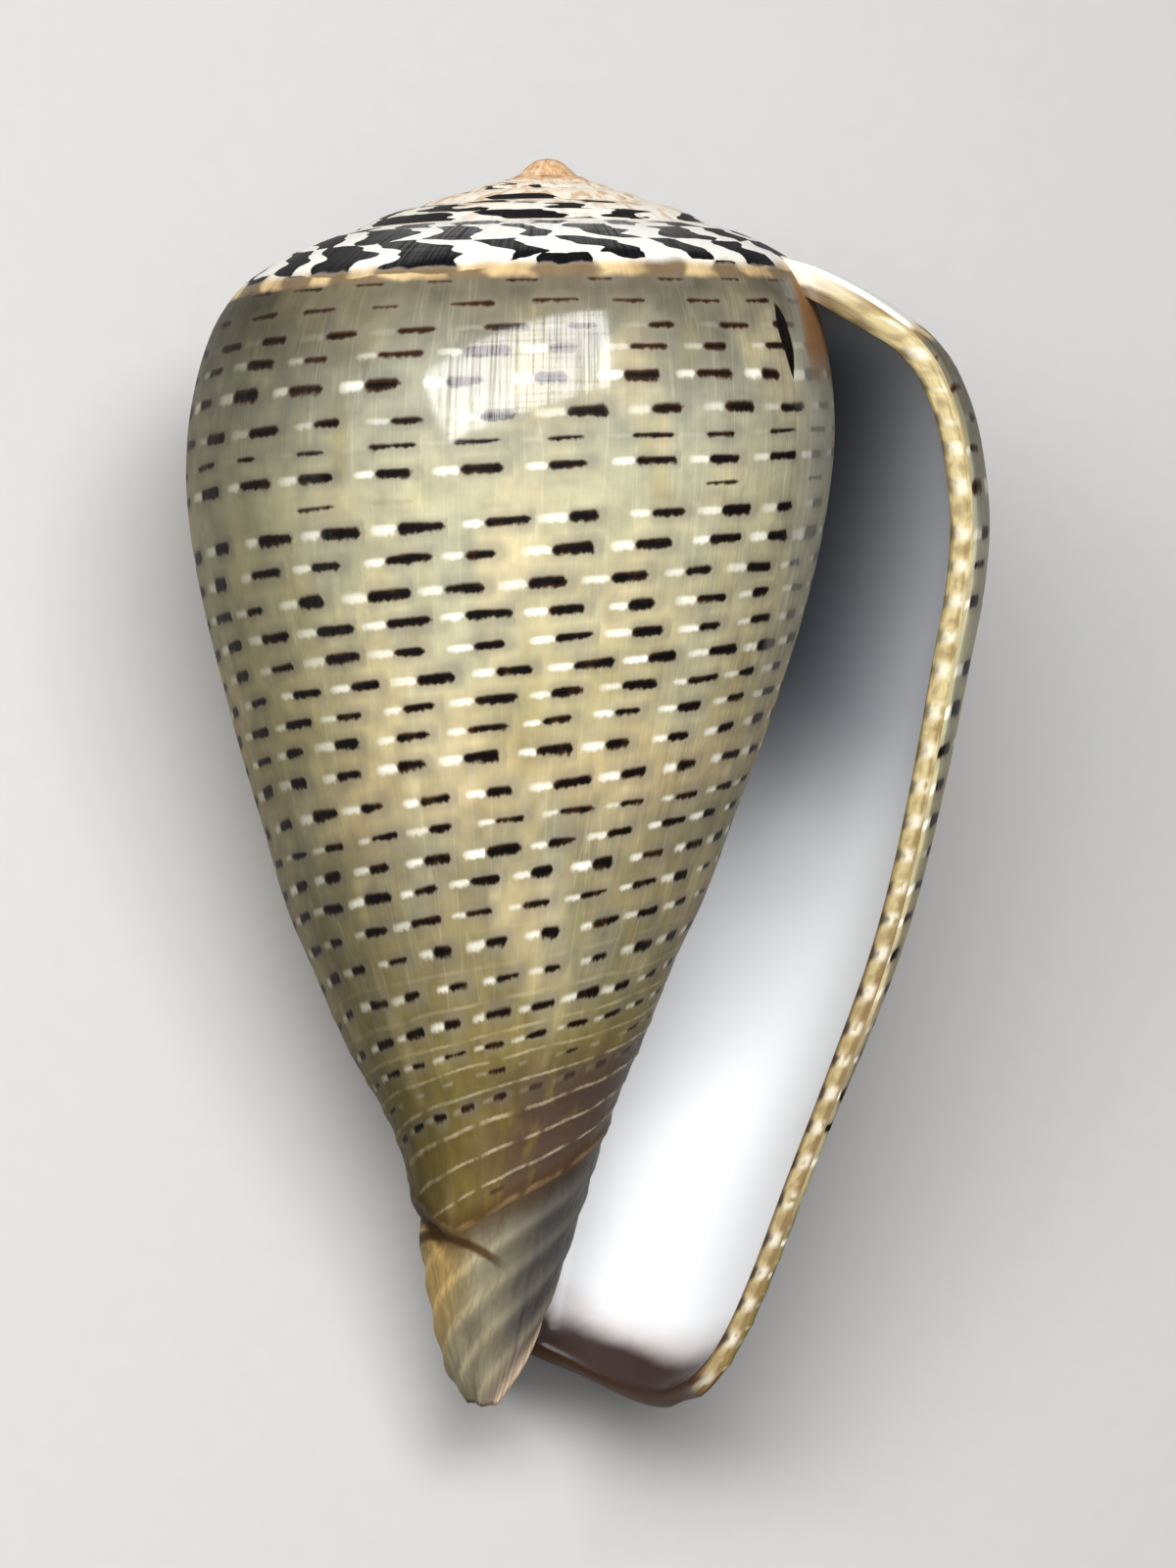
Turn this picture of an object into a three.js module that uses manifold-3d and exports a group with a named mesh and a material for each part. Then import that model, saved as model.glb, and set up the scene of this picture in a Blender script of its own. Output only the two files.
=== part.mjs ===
// A cone shell, 50 mm long, as one grown piece: a sheet of shell rolled round its axis. It lies on
// its back with its mouth up, as a loose shell settles on a table.
//
// A place on the sheet is told by two numbers. The turn counts the whorls back from the lip, which
// is at turn 0. The row is -1 at the suture, 0 at the shoulder line and 1 at the narrow front end.
import * as THREE from "three";
import Module from "manifold-3d";

// Driving dimensions, in millimetres and turns.
const SHOULDER_RADIUS = 14.9; // from the axis to the shoulder line, at the lip
const GROWTH = 0.4155; // a whorl is exp(GROWTH) times as wide as the one before it
const LIP_ANGLE = THREE.MathUtils.degToRad(-20); // where the lip stands round the axis
const RAMP_BULGE = 0.06; // how far the top of a whorl swells, as a share of its width
const BEND = 1.6; // how far the front end leans off the axis
const BEND_START = 20; // depth below the tip at which the lean begins
const BEND_SPAN = 30;
const LIP_THICKNESS = 1.25; // of the wall at the lip's shoulder
const BASE_THICKNESS = 0.85; // of the wall at the front end
const CAVITY_TOP = 0.75; // how many turns the hollow runs back from the lip at the shoulder
const CAVITY_BASE = 0.375; // and at the front end
const CAVITY_CLOSING = 0.55; // the share of the hollow after which its walls draw together
const APEX_TURNS = 3; // whorls that are modelled one by one before the tip closes over
const APEX_RADII = [2.2, 1.3, 0.5]; // rings of the pointed tip
const NOSE_DOWN = THREE.MathUtils.degToRad(15.2); // how far the front end dips, lying on its back
const ROLL = THREE.MathUtils.degToRad(-20); // how far the shell rolls towards its lip
const REST_DEPTH = 0.45; // the worn flat on which it rests is cut this deep
const RING = 48; // mesh columns in a turn
const RAMP = 2; // mesh rows from the suture to the shoulder line
const DEPTHS = 20; // mesh columns from the lip to the end of the hollow
const CEILING = 3; // mesh rows of the hollow's ceiling

const TURN = 2 * Math.PI;

// Rows below the shoulder line, closest where the profile curves most.
const SIDE_ROWS = [
  0, 0.035, 0.07, 0.11, 0.16, 0.21, 0.27, 0.34, 0.41, 0.48, 0.55, 0.62, 0.69, 0.755, 0.815, 0.87,
  0.915, 0.955, 1,
];
const JOIN = 1; // the side row of the whorl before, to which the wall of the hollow is grown
const LAST = RAMP + SIDE_ROWS.length - 1;

// The profiles, each a smooth curve through (place, value) points.
// Depth below the tip of a shoulder line, by its radius: the outline of the spire.
const spire = curve([
  [0, 0], [0.5, 0.12], [1.3, 0.75], [2.7, 1.25], [5.1, 2.08], [7.3, 2.95], [9.6, 3.85],
  [11.83, 5.05], [14.9, 6.4],
]);
// Radius along the lip from shoulder to front end, as a share of the shoulder line's.
const lipRadius = curve([
  [0, 1], [0.01, 1.04], [0.036, 1.108], [0.06, 1.145], [0.09, 1.178], [0.14, 1.207],
  [0.19, 1.22], [0.25, 1.208], [0.32, 1.172], [0.43, 1.118], [0.53, 1.062], [0.6, 1.012],
  [0.7, 0.922], [0.8, 0.832], [0.9, 0.745], [0.95, 0.69], [0.98, 0.64], [1, 0.585],
]);
// The same for the whorls inside, which are wound tight against the pillar.
const coreRadius = curve([
  [0, 1], [0.01, 1.04], [0.036, 1.108], [0.06, 1.145], [0.09, 1.17], [0.14, 1.195], [0.2, 1.15],
  [0.3, 1.0], [0.4, 0.77], [0.5, 0.56], [0.6, 0.46], [0.7, 0.44], [0.8, 0.36], [0.9, 0.265],
  [0.95, 0.18], [1, 0.085],
]);
// How quickly the radius falls from the lip's to the inner whorls', per turn.
const tightness = curve([
  [0, 0.6], [0.5, 0.7], [0.6, 1.05], [0.7, 2.2], [0.8, 5], [0.9, 5], [1, 4.2],
]);
// Depth of the front edge round the shell: the notch is at 0.35 turns, the pillar's tip at 0.75.
const frontEdge = curve([
  [0, 49.2], [0.05, 50], [0.18, 48.7], [0.26, 47.8], [0.35, 46.6], [0.42, 47], [0.5, 48.6],
  [0.6, 49.7], [0.75, 50], [0.9, 49.8], [1.05, 48.6], [1.2, 47.5], [1.36, 46.6], [2.5, 46.6],
]);

function curve(points) {
  const places = points.map((point) => point[0]);
  const values = points.map((point) => point[1]);
  const spline = new THREE.CubicInterpolant(places, values, 1);
  const end = places.at(-1);
  return (place) => spline.evaluate(THREE.MathUtils.clamp(place, 0, end))[0];
}

// Radius and depth of the shoulder line.
function shoulder(turn) {
  const radius = SHOULDER_RADIUS * Math.exp(-GROWTH * turn);
  return { radius, depth: spire(radius) };
}

// Radius and depth of the sheet's outer face.
function outline(turn, row) {
  const here = shoulder(turn);
  if (row <= 0) {
    const before = shoulder(turn + 1);
    const swell = RAMP_BULGE * (here.radius - before.radius) * -4 * row * (1 + row);
    return {
      radius: THREE.MathUtils.lerp(here.radius, before.radius, -row),
      depth: THREE.MathUtils.lerp(here.depth, before.depth, -row) - swell,
    };
  }
  const open = Math.exp(-tightness(row) * turn);
  return {
    radius: here.radius * THREE.MathUtils.lerp(coreRadius(row), lipRadius(row), open),
    depth: THREE.MathUtils.lerp(here.depth, frontEdge(turn), row),
  };
}

// The point in space at a radius and depth, with the front end's lean.
function place({ radius, depth }, turn) {
  const angle = LIP_ANGLE + TURN * turn;
  const lean = BEND * (Math.max(depth - BEND_START, 0) / BEND_SPAN) ** 2;
  return new THREE.Vector3(radius * Math.cos(angle) - lean, radius * Math.sin(angle), -depth);
}

// The same profile, one wall thickness further in.
function liningOf(turn, row) {
  const step = 0.004;
  const low = Math.min(row, 1 - step);
  const from = outline(turn, low);
  const to = outline(turn, low + step);
  const along = new THREE.Vector2(to.radius - from.radius, to.depth - from.depth).normalize();
  const wall = THREE.MathUtils.lerp(LIP_THICKNESS, BASE_THICKNESS, Math.max(row, 0));
  const face = outline(turn, row);
  return { radius: face.radius - along.y * wall, depth: face.depth + along.x * wall };
}

function mix(from, to, share) {
  return {
    radius: THREE.MathUtils.lerp(from.radius, to.radius, share),
    depth: THREE.MathUtils.lerp(from.depth, to.depth, share),
  };
}

// How many turns the hollow runs back from the lip at a side row.
function hollowTurns(row) {
  return THREE.MathUtils.lerp(CAVITY_TOP, CAVITY_BASE, THREE.MathUtils.smoothstep(row, 0.1, 0.9));
}

// The lining's profile opposite a row of the whorl before. Its ceiling runs straight from the
// whorl before to the shoulder, and clears that whorl's own shoulder.
function liningProfile(turn, index) {
  if (index > CEILING) {
    return liningOf(turn, (index - CEILING) / (SIDE_ROWS.length - 1 - JOIN - CEILING));
  }
  return mix(outline(turn + 1, SIDE_ROWS[JOIN]), liningOf(turn, 0), index / CEILING);
}

// A mesh that is grown vertex by vertex, with each vertex shared by the faces that meet at it.
class Skin {
  vertices = [];
  faces = [];
  named = new Map();

  // The number of the vertex with this name, made at its first use.
  vertex(name, pointAt) {
    if (!this.named.has(name)) {
      this.named.set(name, this.vertices.length);
      this.vertices.push(pointAt());
    }
    return this.named.get(name);
  }

  quad(a, b, c, d) {
    this.faces.push([a, b, c], [a, c, d]);
  }

  // Joins two lines that start together and end together, whatever their numbers of vertices.
  zip(left, right) {
    let i = 0;
    let j = 0;
    while (i < left.length - 1 || j < right.length - 1) {
      const leftShare = (i + 1) / (left.length - 1);
      const rightShare = (j + 1) / (right.length - 1);
      if (j === right.length - 1 || (i < left.length - 1 && leftShare <= rightShare)) {
        this.faces.push([left[i + 1], left[i], right[j]]);
        i += 1;
      } else {
        this.faces.push([right[j], right[j + 1], left[i]]);
        j += 1;
      }
    }
  }

  // Closes a loop with a fan to one point.
  fan(loop, hub) {
    loop.forEach((vertex, i) => this.faces.push([vertex, loop[(i + 1) % loop.length], hub]));
  }

  manifold(wasm) {
    const mesh = new wasm.Mesh({
      numProp: 3,
      vertProperties: new Float32Array(this.vertices.flatMap((v) => v.toArray())),
      triVerts: new Uint32Array(this.faces.flat()),
    });
    return new wasm.Manifold(mesh);
  }
}

// The outer face: a row at the suture is the shoulder row of the whorl before.
function outerVertex(skin, column, row) {
  if (row === 0) return outerVertex(skin, column + RING, RAMP);
  const turn = column / RING;
  const level = row <= RAMP ? row / RAMP - 1 : SIDE_ROWS[row - RAMP];
  return skin.vertex(`outer ${column} ${row}`, () => place(outline(turn, level), turn));
}

// The pillar side of the hollow: the whorl before, seen past the lip.
function pillarVertex(skin, column, index) {
  if (column === 0) return outerVertex(skin, RING, RAMP + JOIN + index);
  const row = SIDE_ROWS[JOIN + index];
  const turn = 1 + (hollowTurns(row) * column) / DEPTHS;
  return skin.vertex(`pillar ${column} ${index}`, () => place(outline(turn, row), turn));
}

// The lining of the last whorl, which draws in to the pillar at the end of the hollow.
function liningVertex(skin, column, index) {
  if (index === 0 || column === DEPTHS) return pillarVertex(skin, column, index);
  const row = SIDE_ROWS[JOIN + index];
  const turn = (hollowTurns(row) * column) / DEPTHS;
  const closing = THREE.MathUtils.smoothstep(column / DEPTHS, CAVITY_CLOSING, 1);
  const point = mix(liningProfile(turn, index), outline(turn + 1, row), closing);
  return skin.vertex(`lining ${column} ${index}`, () => place(point, turn));
}

function range(from, to) {
  return Array.from({ length: to - from + 1 }, (_, i) => from + i);
}

// The whorls outside: the whole side of the last one, and the tops of those before it.
function growOutside(skin) {
  for (let column = 0; column < APEX_TURNS * RING; column++) {
    const last = column < RING ? LAST : RAMP;
    for (let row = 0; row < last; row++)
      skin.quad(
        outerVertex(skin, column, row),
        outerVertex(skin, column, row + 1),
        outerVertex(skin, column + 1, row + 1),
        outerVertex(skin, column + 1, row),
      );
  }
}

// The small pointed tip, in round rings over the last whorl that is modelled.
function growTip(skin) {
  const start = APEX_TURNS * RING;
  const keel = range(start, start + RING).map((column) => outerVertex(skin, column, RAMP));
  const step = range(1, RAMP - 1).map((row) => outerVertex(skin, start, row));
  const rings = APEX_RADII.map((radius) =>
    range(0, RING - 1).map((column) => {
      const point = () => place({ radius, depth: spire(radius) }, column / RING);
      return skin.vertex(`tip ${radius} ${column}`, point);
    }),
  );
  skin.zip([...rings[0], rings[0][0]], [...keel, ...step, keel[0]]);
  rings.slice(1).forEach((ring, level) => {
    const below = rings[level];
    ring.forEach((vertex, i) => {
      const next = (i + 1) % RING;
      skin.quad(below[i], below[next], ring[next], vertex);
    });
  });
  skin.fan(rings.at(-1), skin.vertex("tip", () => new THREE.Vector3()));
}

// The hollow: the pillar side and the lining, joined at the ceiling and at the far end.
function growHollow(skin) {
  const rows = SIDE_ROWS.length - 1 - JOIN;
  for (let column = 0; column < DEPTHS; column++)
    for (let index = 0; index < rows; index++) {
      skin.quad(
        pillarVertex(skin, column, index),
        pillarVertex(skin, column, index + 1),
        pillarVertex(skin, column + 1, index + 1),
        pillarVertex(skin, column + 1, index),
      );
      skin.quad(
        liningVertex(skin, column, index),
        liningVertex(skin, column + 1, index),
        liningVertex(skin, column + 1, index + 1),
        liningVertex(skin, column, index + 1),
      );
    }
}

// The lip's edge, the front edge up to the pillar, and the pillar's own tip.
function growEdges(skin) {
  const bottom = SIDE_ROWS.length - 1 - JOIN;
  const front = CAVITY_BASE * RING;
  skin.zip(
    range(0, LAST).map((row) => outerVertex(skin, 0, row)),
    range(0, bottom).map((index) => liningVertex(skin, 0, index)),
  );
  skin.zip(
    range(0, front).map((column) => outerVertex(skin, column, LAST)),
    range(0, DEPTHS).map((column) => liningVertex(skin, column, bottom)),
  );
  const pillar = range(0, DEPTHS).map((column) => pillarVertex(skin, column, bottom));
  const outside = range(front, RING - 1).map((column) => outerVertex(skin, column, LAST));
  const loop = [outside[0], ...pillar.reverse(), ...outside.slice(1).reverse()];
  const middle = new THREE.Vector3();
  loop.forEach((vertex) => middle.addScaledVector(skin.vertices[vertex], 1 / loop.length));
  skin.fan(loop, skin.vertex("pillar tip", () => middle));
}

// Lays the shell on its back, sets the middle of its footprint over the origin and wears the flat.
function settle(wasm, skin) {
  const onBack = new THREE.Matrix4().makeRotationX(-Math.PI / 2);
  const rolled = new THREE.Matrix4().makeRotationZ(ROLL);
  const dipped = new THREE.Matrix4().makeRotationX(NOSE_DOWN);
  const pose = dipped.multiply(onBack).multiply(rolled);
  skin.vertices.forEach((vertex) => vertex.applyMatrix4(pose));
  const box = new THREE.Box3().setFromPoints(skin.vertices);
  const middle = box.getCenter(new THREE.Vector3());
  const shift = new THREE.Vector3(-middle.x, -middle.y, -box.min.z - REST_DEPTH);
  skin.vertices.forEach((vertex) => vertex.add(shift));
  return skin.manifold(wasm).subtract(slabUnder(wasm, box.getSize(new THREE.Vector3())));
}

// A slab wider than the shell, with its top face at height 0.
function slabUnder(wasm, size) {
  const slab = new Skin();
  const box = new THREE.BoxGeometry(2 * size.x, 2 * size.y, 1);
  const positions = box.getAttribute("position");
  const corner = (i) => new THREE.Vector3().fromBufferAttribute(positions, i);
  const numbers = Array.from(box.index.array, (i) =>
    slab.vertex(corner(i).toArray().join(), () => corner(i).add(new THREE.Vector3(0, 0, -0.5))),
  );
  for (let i = 0; i < numbers.length; i += 3) slab.faces.push(numbers.slice(i, i + 3));
  return slab.manifold(wasm);
}

function geometryOf(solid) {
  const mesh = solid.getMesh();
  const geometry = new THREE.BufferGeometry();
  geometry.setAttribute("position", new THREE.BufferAttribute(mesh.vertProperties, 3));
  geometry.setIndex(new THREE.BufferAttribute(mesh.triVerts, 1));
  geometry.computeVertexNormals();
  return geometry;
}

const wasm = await Module();
wasm.setup();

const skin = new Skin();
growOutside(skin);
growTip(skin);
growHollow(skin);
growEdges(skin);

const polishedShell = new THREE.MeshStandardMaterial({
  color: new THREE.Color(0.53, 0.46, 0.32),
  roughness: 0.25,
  metalness: 0,
});
const shell = new THREE.Mesh(geometryOf(settle(wasm, skin)), polishedShell);
shell.name = "shell";

const part = new THREE.Group();
part.name = "cone_shell";
part.add(shell);

export default part;
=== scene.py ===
"""A polished cone shell, 50 mm long, lying on its back with its mouth up.

The shell is one sheet rolled round its axis. A place on the sheet is told by two numbers: the
turn counts the whorls back from the lip, which is at turn 0, and the row is -1 at the suture, 0
at the shoulder line and 1 at the narrow front end. Shapes are worked out in millimetres in the
shell's own frame, tip up, and laid down in the part's frame at the end.
"""

from __future__ import annotations

import logging
import math
from collections.abc import Callable, Sequence
from dataclasses import dataclass, fields
from enum import Enum

import bmesh
import bpy
from mathutils import Matrix, Quaternion, Vector, noise


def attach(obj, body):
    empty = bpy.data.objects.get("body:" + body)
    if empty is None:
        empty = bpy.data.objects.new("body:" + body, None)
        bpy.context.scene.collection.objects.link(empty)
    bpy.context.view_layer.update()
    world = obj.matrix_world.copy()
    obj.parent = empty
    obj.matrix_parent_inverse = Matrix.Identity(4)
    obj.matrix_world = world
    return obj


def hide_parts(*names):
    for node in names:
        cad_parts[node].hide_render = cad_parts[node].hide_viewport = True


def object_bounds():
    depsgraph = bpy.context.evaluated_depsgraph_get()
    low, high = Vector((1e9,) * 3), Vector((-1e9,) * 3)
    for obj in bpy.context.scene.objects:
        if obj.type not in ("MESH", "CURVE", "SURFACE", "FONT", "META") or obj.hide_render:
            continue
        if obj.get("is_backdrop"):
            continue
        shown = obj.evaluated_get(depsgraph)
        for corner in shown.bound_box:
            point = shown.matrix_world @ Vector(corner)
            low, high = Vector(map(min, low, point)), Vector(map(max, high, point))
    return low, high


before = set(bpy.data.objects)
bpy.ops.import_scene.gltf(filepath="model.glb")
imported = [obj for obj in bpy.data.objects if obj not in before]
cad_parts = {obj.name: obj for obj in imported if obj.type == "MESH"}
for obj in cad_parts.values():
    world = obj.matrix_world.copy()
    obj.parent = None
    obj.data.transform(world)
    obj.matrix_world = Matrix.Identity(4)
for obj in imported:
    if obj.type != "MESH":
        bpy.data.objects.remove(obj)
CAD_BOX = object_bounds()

LOG = logging.getLogger("cone shell")
MM = 0.001
TURN = 2 * math.pi
CELLS = 23.5  # dashes in a turn
WIDE = 94.0  # millimetres round the shell in a turn, at its widest
CELL_LENGTH = WIDE / CELLS
SIDE_LEVELS = 8.4  # ramp widths in the side's height
LEFT_EDGE = 0.5556  # the turn at which the lines of dashes have their nominal depths
DASH = "dash"  # the mesh's attribute that holds each corner's dash line
MERGED = 0.0004  # millimetres within which two vertices are one
COAT_ROUGHNESS = 0.1
COAT_IOR = 1.6

Profile = tuple[float, float]
Points = Sequence[tuple[float, float]]


def curve(points: Points) -> Callable[[float], float]:
    """A smooth curve through points.

    Args:
        points: (place, value) pairs in rising order of place.

    Returns:
        The function from a place to the curve's value, held level past both ends.
    """
    places = [point[0] for point in points]
    values = [point[1] for point in points]
    secants = [
        (values[i + 1] - values[i]) / (places[i + 1] - places[i]) for i in range(len(points) - 1)
    ]
    slopes = [secants[0]]
    slopes += [(secants[i] + secants[i + 1]) / 2 for i in range(len(secants) - 1)]
    slopes.append(secants[-1])

    def value_at(place: float) -> float:
        """The curve's value.

        Args:
            place: where it is wanted.

        Returns:
            The value.
        """
        place = min(max(place, places[0]), places[-1])
        i = 0
        while i < len(secants) - 1 and place > places[i + 1]:
            i += 1
        span = places[i + 1] - places[i]
        s = (place - places[i]) / span
        start = (1 + 2 * s) * (1 - s) ** 2 * values[i] + s * (1 - s) ** 2 * span * slopes[i]
        end = s * s * (3 - 2 * s) * values[i + 1] + s * s * (s - 1) * span * slopes[i + 1]
        return start + end

    return value_at


def wobble(x: float, y: float, z: float) -> float:
    """Soft noise round 0, the same in every run."""
    return noise.noise(Vector((x, y, z)))


def lerp(a: float, b: float, share: float) -> float:
    """The value a share of the way from a to b."""
    return a + (b - a) * share


def mix(a: Profile, b: Profile, share: float) -> Profile:
    """The profile point a share of the way from a to b."""
    return lerp(a[0], b[0], share), lerp(a[1], b[1], share)


def smooth(low: float, high: float, value: float) -> float:
    """An S-curve from 0 at low to 1 at high; low may be the larger."""
    s = min(max((value - low) / (high - low), 0.0), 1.0)
    return s * s * (3 - 2 * s)


def bump(middle: float, width: float, value: float) -> float:
    """A bell of height 1 round the middle."""
    return math.exp(-(((value - middle) / width) ** 2))


def mesh_data(name: str, mesh: bmesh.types.BMesh) -> bpy.types.Mesh:
    """Makes the finished mesh of a bmesh, which it frees.

    Args:
        name: of the mesh.
        mesh: the bmesh.

    Returns:
        The mesh.
    """
    data = bpy.data.meshes.new(name)
    mesh.to_mesh(data)
    mesh.free()
    return data


def add_object(name: str, data: bpy.types.ID) -> bpy.types.Object:
    """Adds an object to the scene.

    Args:
        name: of the object.
        data: its mesh, light or camera.

    Returns:
        The object.
    """
    made = bpy.data.objects.new(name, data)
    bpy.context.scene.collection.objects.link(made)
    return made


@dataclass(frozen=True)
class DashLine:
    """One line of dashes round the last whorl.

    Attributes:
        depth: below the tip, where the line crosses the shell's left edge, in mm.
        ink: how strongly its dark dashes are drawn.
        chalk: how strongly its white dashes are drawn.
        height: of a dash, in mm.
    """

    depth: float
    ink: float = 1.0
    chalk: float = 1.0
    height: float = 0.56


BARE_LINES = (41.3, 42.7, 44.1, 45.8, 47.6, 49.5, 51.6, 53.9, 56.4, 59.1)  # depths, without dashes
DASH_LINES = (
    DashLine(5.2, 0.0, 0.0, 0.10),
    DashLine(6.1, 0.55, 0.0, 0.2),
    DashLine(7.1, 0.55, 0.0, 0.3),
    DashLine(8.2, 0.8, 0.1, 0.44),
    DashLine(9.1, 0.9, 0.4, 0.5),
    DashLine(10.35, 1.0, 0.9, 0.56),
    DashLine(11.9, 0.9, 0.5, 0.5),
    DashLine(12.95, 0.8, 0.1, 0.3),
    DashLine(14.05, 1.0, 0.9, 0.56),
    DashLine(15.2, 0.0, 0.0, 0.28),
    DashLine(16.3, 1.0, 0.9, 0.54),
    DashLine(17.65, 1.0, 1.0, 0.54),
    DashLine(18.95, 1.0, 0.9, 0.47),
    DashLine(20.15, 1.0, 1.0, 0.52),
    DashLine(21.35, 1.0, 0.9, 0.48),
    DashLine(22.5, 1.0, 1.0, 0.52),
    DashLine(23.6, 1.0, 0.85, 0.47),
    DashLine(24.7, 1.0, 1.0, 0.46),
    DashLine(25.9, 1.0, 1.0, 0.48),
    DashLine(27.3, 1.0, 1.0, 0.46),
    DashLine(28.6, 0.95, 0.8, 0.39),
    DashLine(29.7, 1.0, 1.0, 0.48),
    DashLine(30.9, 1.0, 1.0, 0.46),
    DashLine(32.15, 1.0, 0.8, 0.4),
    DashLine(33.4, 1.0, 0.9, 0.4),
    DashLine(34.9, 1.0, 0.8, 0.36),
    DashLine(36.4, 1.0, 0.8, 0.38),
    DashLine(37.6, 0.75, 0.6, 0.3),
    DashLine(38.7, 0.3, 0.2, 0.22),
    DashLine(39.85, 0.95, 0.2, 0.34),
    *(DashLine(depth, 0.0, 0.0, 0.25) for depth in BARE_LINES),
)
LINE_HEIGHT = 1.2  # millimetres between two lines of dashes, as the finish takes them to be
LINE_ROUNDS = 5  # after which the search for a place's line has settled
FIRST_THREAD = 24  # the dash line from which a raised thread runs above each line
CREST_LINE = 33.0  # the line number of the crest that bounds the base's band of broad ridges
CREST_DIP = 2.3  # how many lines higher the crest starts at the left edge
CREST_LEVEL = 0.72  # the turn from which the crest follows its line

# How fast a line of dashes climbs towards the tip, per turn, by its nominal depth.
climb = curve([(4, 0.47), (10, 0.42), (20, 0.38), (30, 0.33), (40, 0.29), (47, 0.34), (60, 0.36)])


def line_depth(turn: float, depth: float) -> float:
    """The nominal depth of the line through a place.

    Args:
        turn: the place's turn.
        depth: its depth below the tip, in mm.

    Returns:
        The depth at which the same line crosses the shell's left edge.
    """
    found = depth
    for _ in range(LINE_ROUNDS):
        found = depth * math.exp(climb(found) * (turn - LEFT_EDGE))
    return found


def line_number(depth: float) -> float:
    """The number of the dash line at a nominal depth.

    Args:
        depth: the nominal depth, in mm.

    Returns:
        On a line, its place in the list and a half; elsewhere, a value between its neighbours'.
    """
    depths = [line.depth for line in DASH_LINES]
    if depth <= depths[0]:
        return max(0.5 - (depths[0] - depth), 0.0)
    for i in range(len(depths) - 1):
        if depth <= depths[i + 1]:
            return i + 0.5 + (depth - depths[i]) / (depths[i + 1] - depths[i])
    return len(depths) - 0.5


def crest_line(turn: float) -> float:
    """The line number of the crest at a turn."""
    return CREST_LINE - CREST_DIP * smooth(CREST_LEVEL, LEFT_EDGE, turn)


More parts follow.
